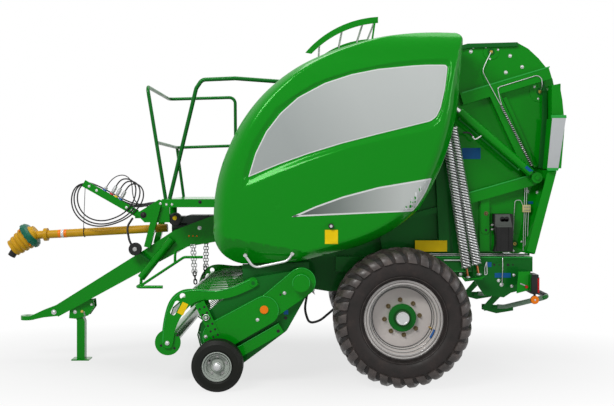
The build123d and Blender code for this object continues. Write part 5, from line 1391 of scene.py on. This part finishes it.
LIFT_CHAINS = (  # (side, top, end of the links, foot of the hook), as (x, z)
    (1, (-0.735, 1.095), (-0.722, 0.836), (-0.712, 0.738)),
    (-1, (-0.668, 1.102), (-0.672, 0.846), (-0.7, 0.738)),
)
CHAIN_Y, CHAIN_LINKS, CHAIN_ANCHOR, CHAIN_KEEP = 0.226, 9, (-0.712, 0, 1.105), 0.45

links, hooks = [], []
for side, top, end, foot in LIFT_CHAINS:
    y = -side * CHAIN_Y
    for strand in (-0.012, 0.012):
        ends = ((x + strand, y, z) for x, z in (top, end))
        links += chain_links(*ends, CHAIN_LINKS, 0.037, 0.0038, 0.023)
    hooks += chain_links((end[0], y, end[1] + 0.012), (foot[0], y, foot[1]), 3, 0.044, 0.006, 0.026)
lift_chains = piece("lift_chain_links", "zinc", "chassis", links, 60)
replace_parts(lift_chains, "lift_chains")
for chain in (lift_chains, piece("lift_chain_hooks", "black", "chassis", hooks, 60)):
    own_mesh(chain)

for (body, finish), parts in fittings.items():
    piece(f"fittings_{body}_{finish}", finish, body, parts)

# ---------------------------------------------------------------- stage and light


def seen_mask(tree):
    """1 for camera, glossy and transmission rays, 0 for the rays that carry the room's light."""
    path = tree.add("LightPath")
    total = path.outputs["Is Camera Ray"]
    for ray in ("Is Glossy Ray", "Is Transmission Ray"):
        total = tree.maths("MAXIMUM", total, path.outputs[ray])
    return total


def build_floor():
    """A pale floor that keeps the shadow near the object and turns plain white away from it."""
    floor = mesh_object("floor", [(-60, -60, 0), (60, -60, 0), (60, 60, 0), (-60, 60, 0)], [(0, 1, 2, 3)])
    shader = Shader("floor_white")
    shader.set(shader.bsdf, Roughness=0.9, Specular_IOR_Level=0.1)
    tones = ((0.3, (0.5, 0.5, 0.5)), (0.7, (0.54, 0.54, 0.54)))
    shader.feed("Base Color", shader.ramp(shader.noise(1.4, 2), tones))
    mapping = shader.add("Mapping", Scale=(0.55, 1.0, 1.0))
    shader.link(shader.place, mapping.inputs["Vector"])
    length = shader.add("VectorMath")
    length.operation = "LENGTH"
    shader.link(mapping.outputs["Vector"], length.inputs[0])
    away = shader.remap(length.outputs["Value"], 0.8, 2.4, 0.74, 1.0)
    white = shader.add("Emission", Strength=1.0)
    blend = shader.add("MixShader")
    shader.link(shader.maths("MULTIPLY", away, seen_mask(shader)), blend.inputs["Fac"])
    shader.link(shader.bsdf.outputs["BSDF"], blend.inputs[1])
    shader.link(white.outputs["Emission"], blend.inputs[2])
    shader.link(blend.outputs["Shader"], shader.nodes["Material Output"].inputs["Surface"])
    floor.data.materials.append(shader.material)


def build_sky():
    """Faint sky light, behind a background that looks plain white."""
    world = bpy.data.worlds.new("studio")
    bpy.context.scene.world = world
    tree = Tree(world)
    tree.nodes.clear()
    soft = tree.add("Background", Color=(0.94, 0.97, 1.0, 1), Strength=0.22)
    seen = tree.add("Background", Color=(1, 1, 1, 1), Strength=1.0)
    pick = tree.add("MixShader")
    tree.link(seen_mask(tree), pick.inputs["Fac"])
    tree.link(soft.outputs["Background"], pick.inputs[1])
    tree.link(seen.outputs["Background"], pick.inputs[2])
    tree.link(pick.outputs["Shader"], tree.add("OutputWorld").inputs["Surface"])


def area_light(name, place, target, size, power, color=(1, 1, 1)):
    data = bpy.data.lights.new(name, "AREA")
    data.shape = "RECTANGLE"
    data.size, data.size_y = size
    data.energy = power
    data.color = color
    lamp = link(bpy.data.objects.new(name, data))
    lamp.location = place
    lamp.rotation_euler = (Vector(target) - Vector(place)).to_track_quat("-Z", "Y").to_euler()


build_floor()
build_sky()
area_light("key", (-3.0, -6.5, 6.5), (0.3, 0, 1.2), (4, 2), 450, (1.0, 0.99, 0.97))
area_light("fill", (8.5, -5.0, 3.5), (0.8, 0, 1.3), (4, 3), 190, (0.97, 0.98, 1.0))
area_light("top", (0.5, 0.5, 7.5), (0.3, 0, 1.4), (6, 2.5), 210)

bpy.context.scene.view_settings.view_transform = "Standard"
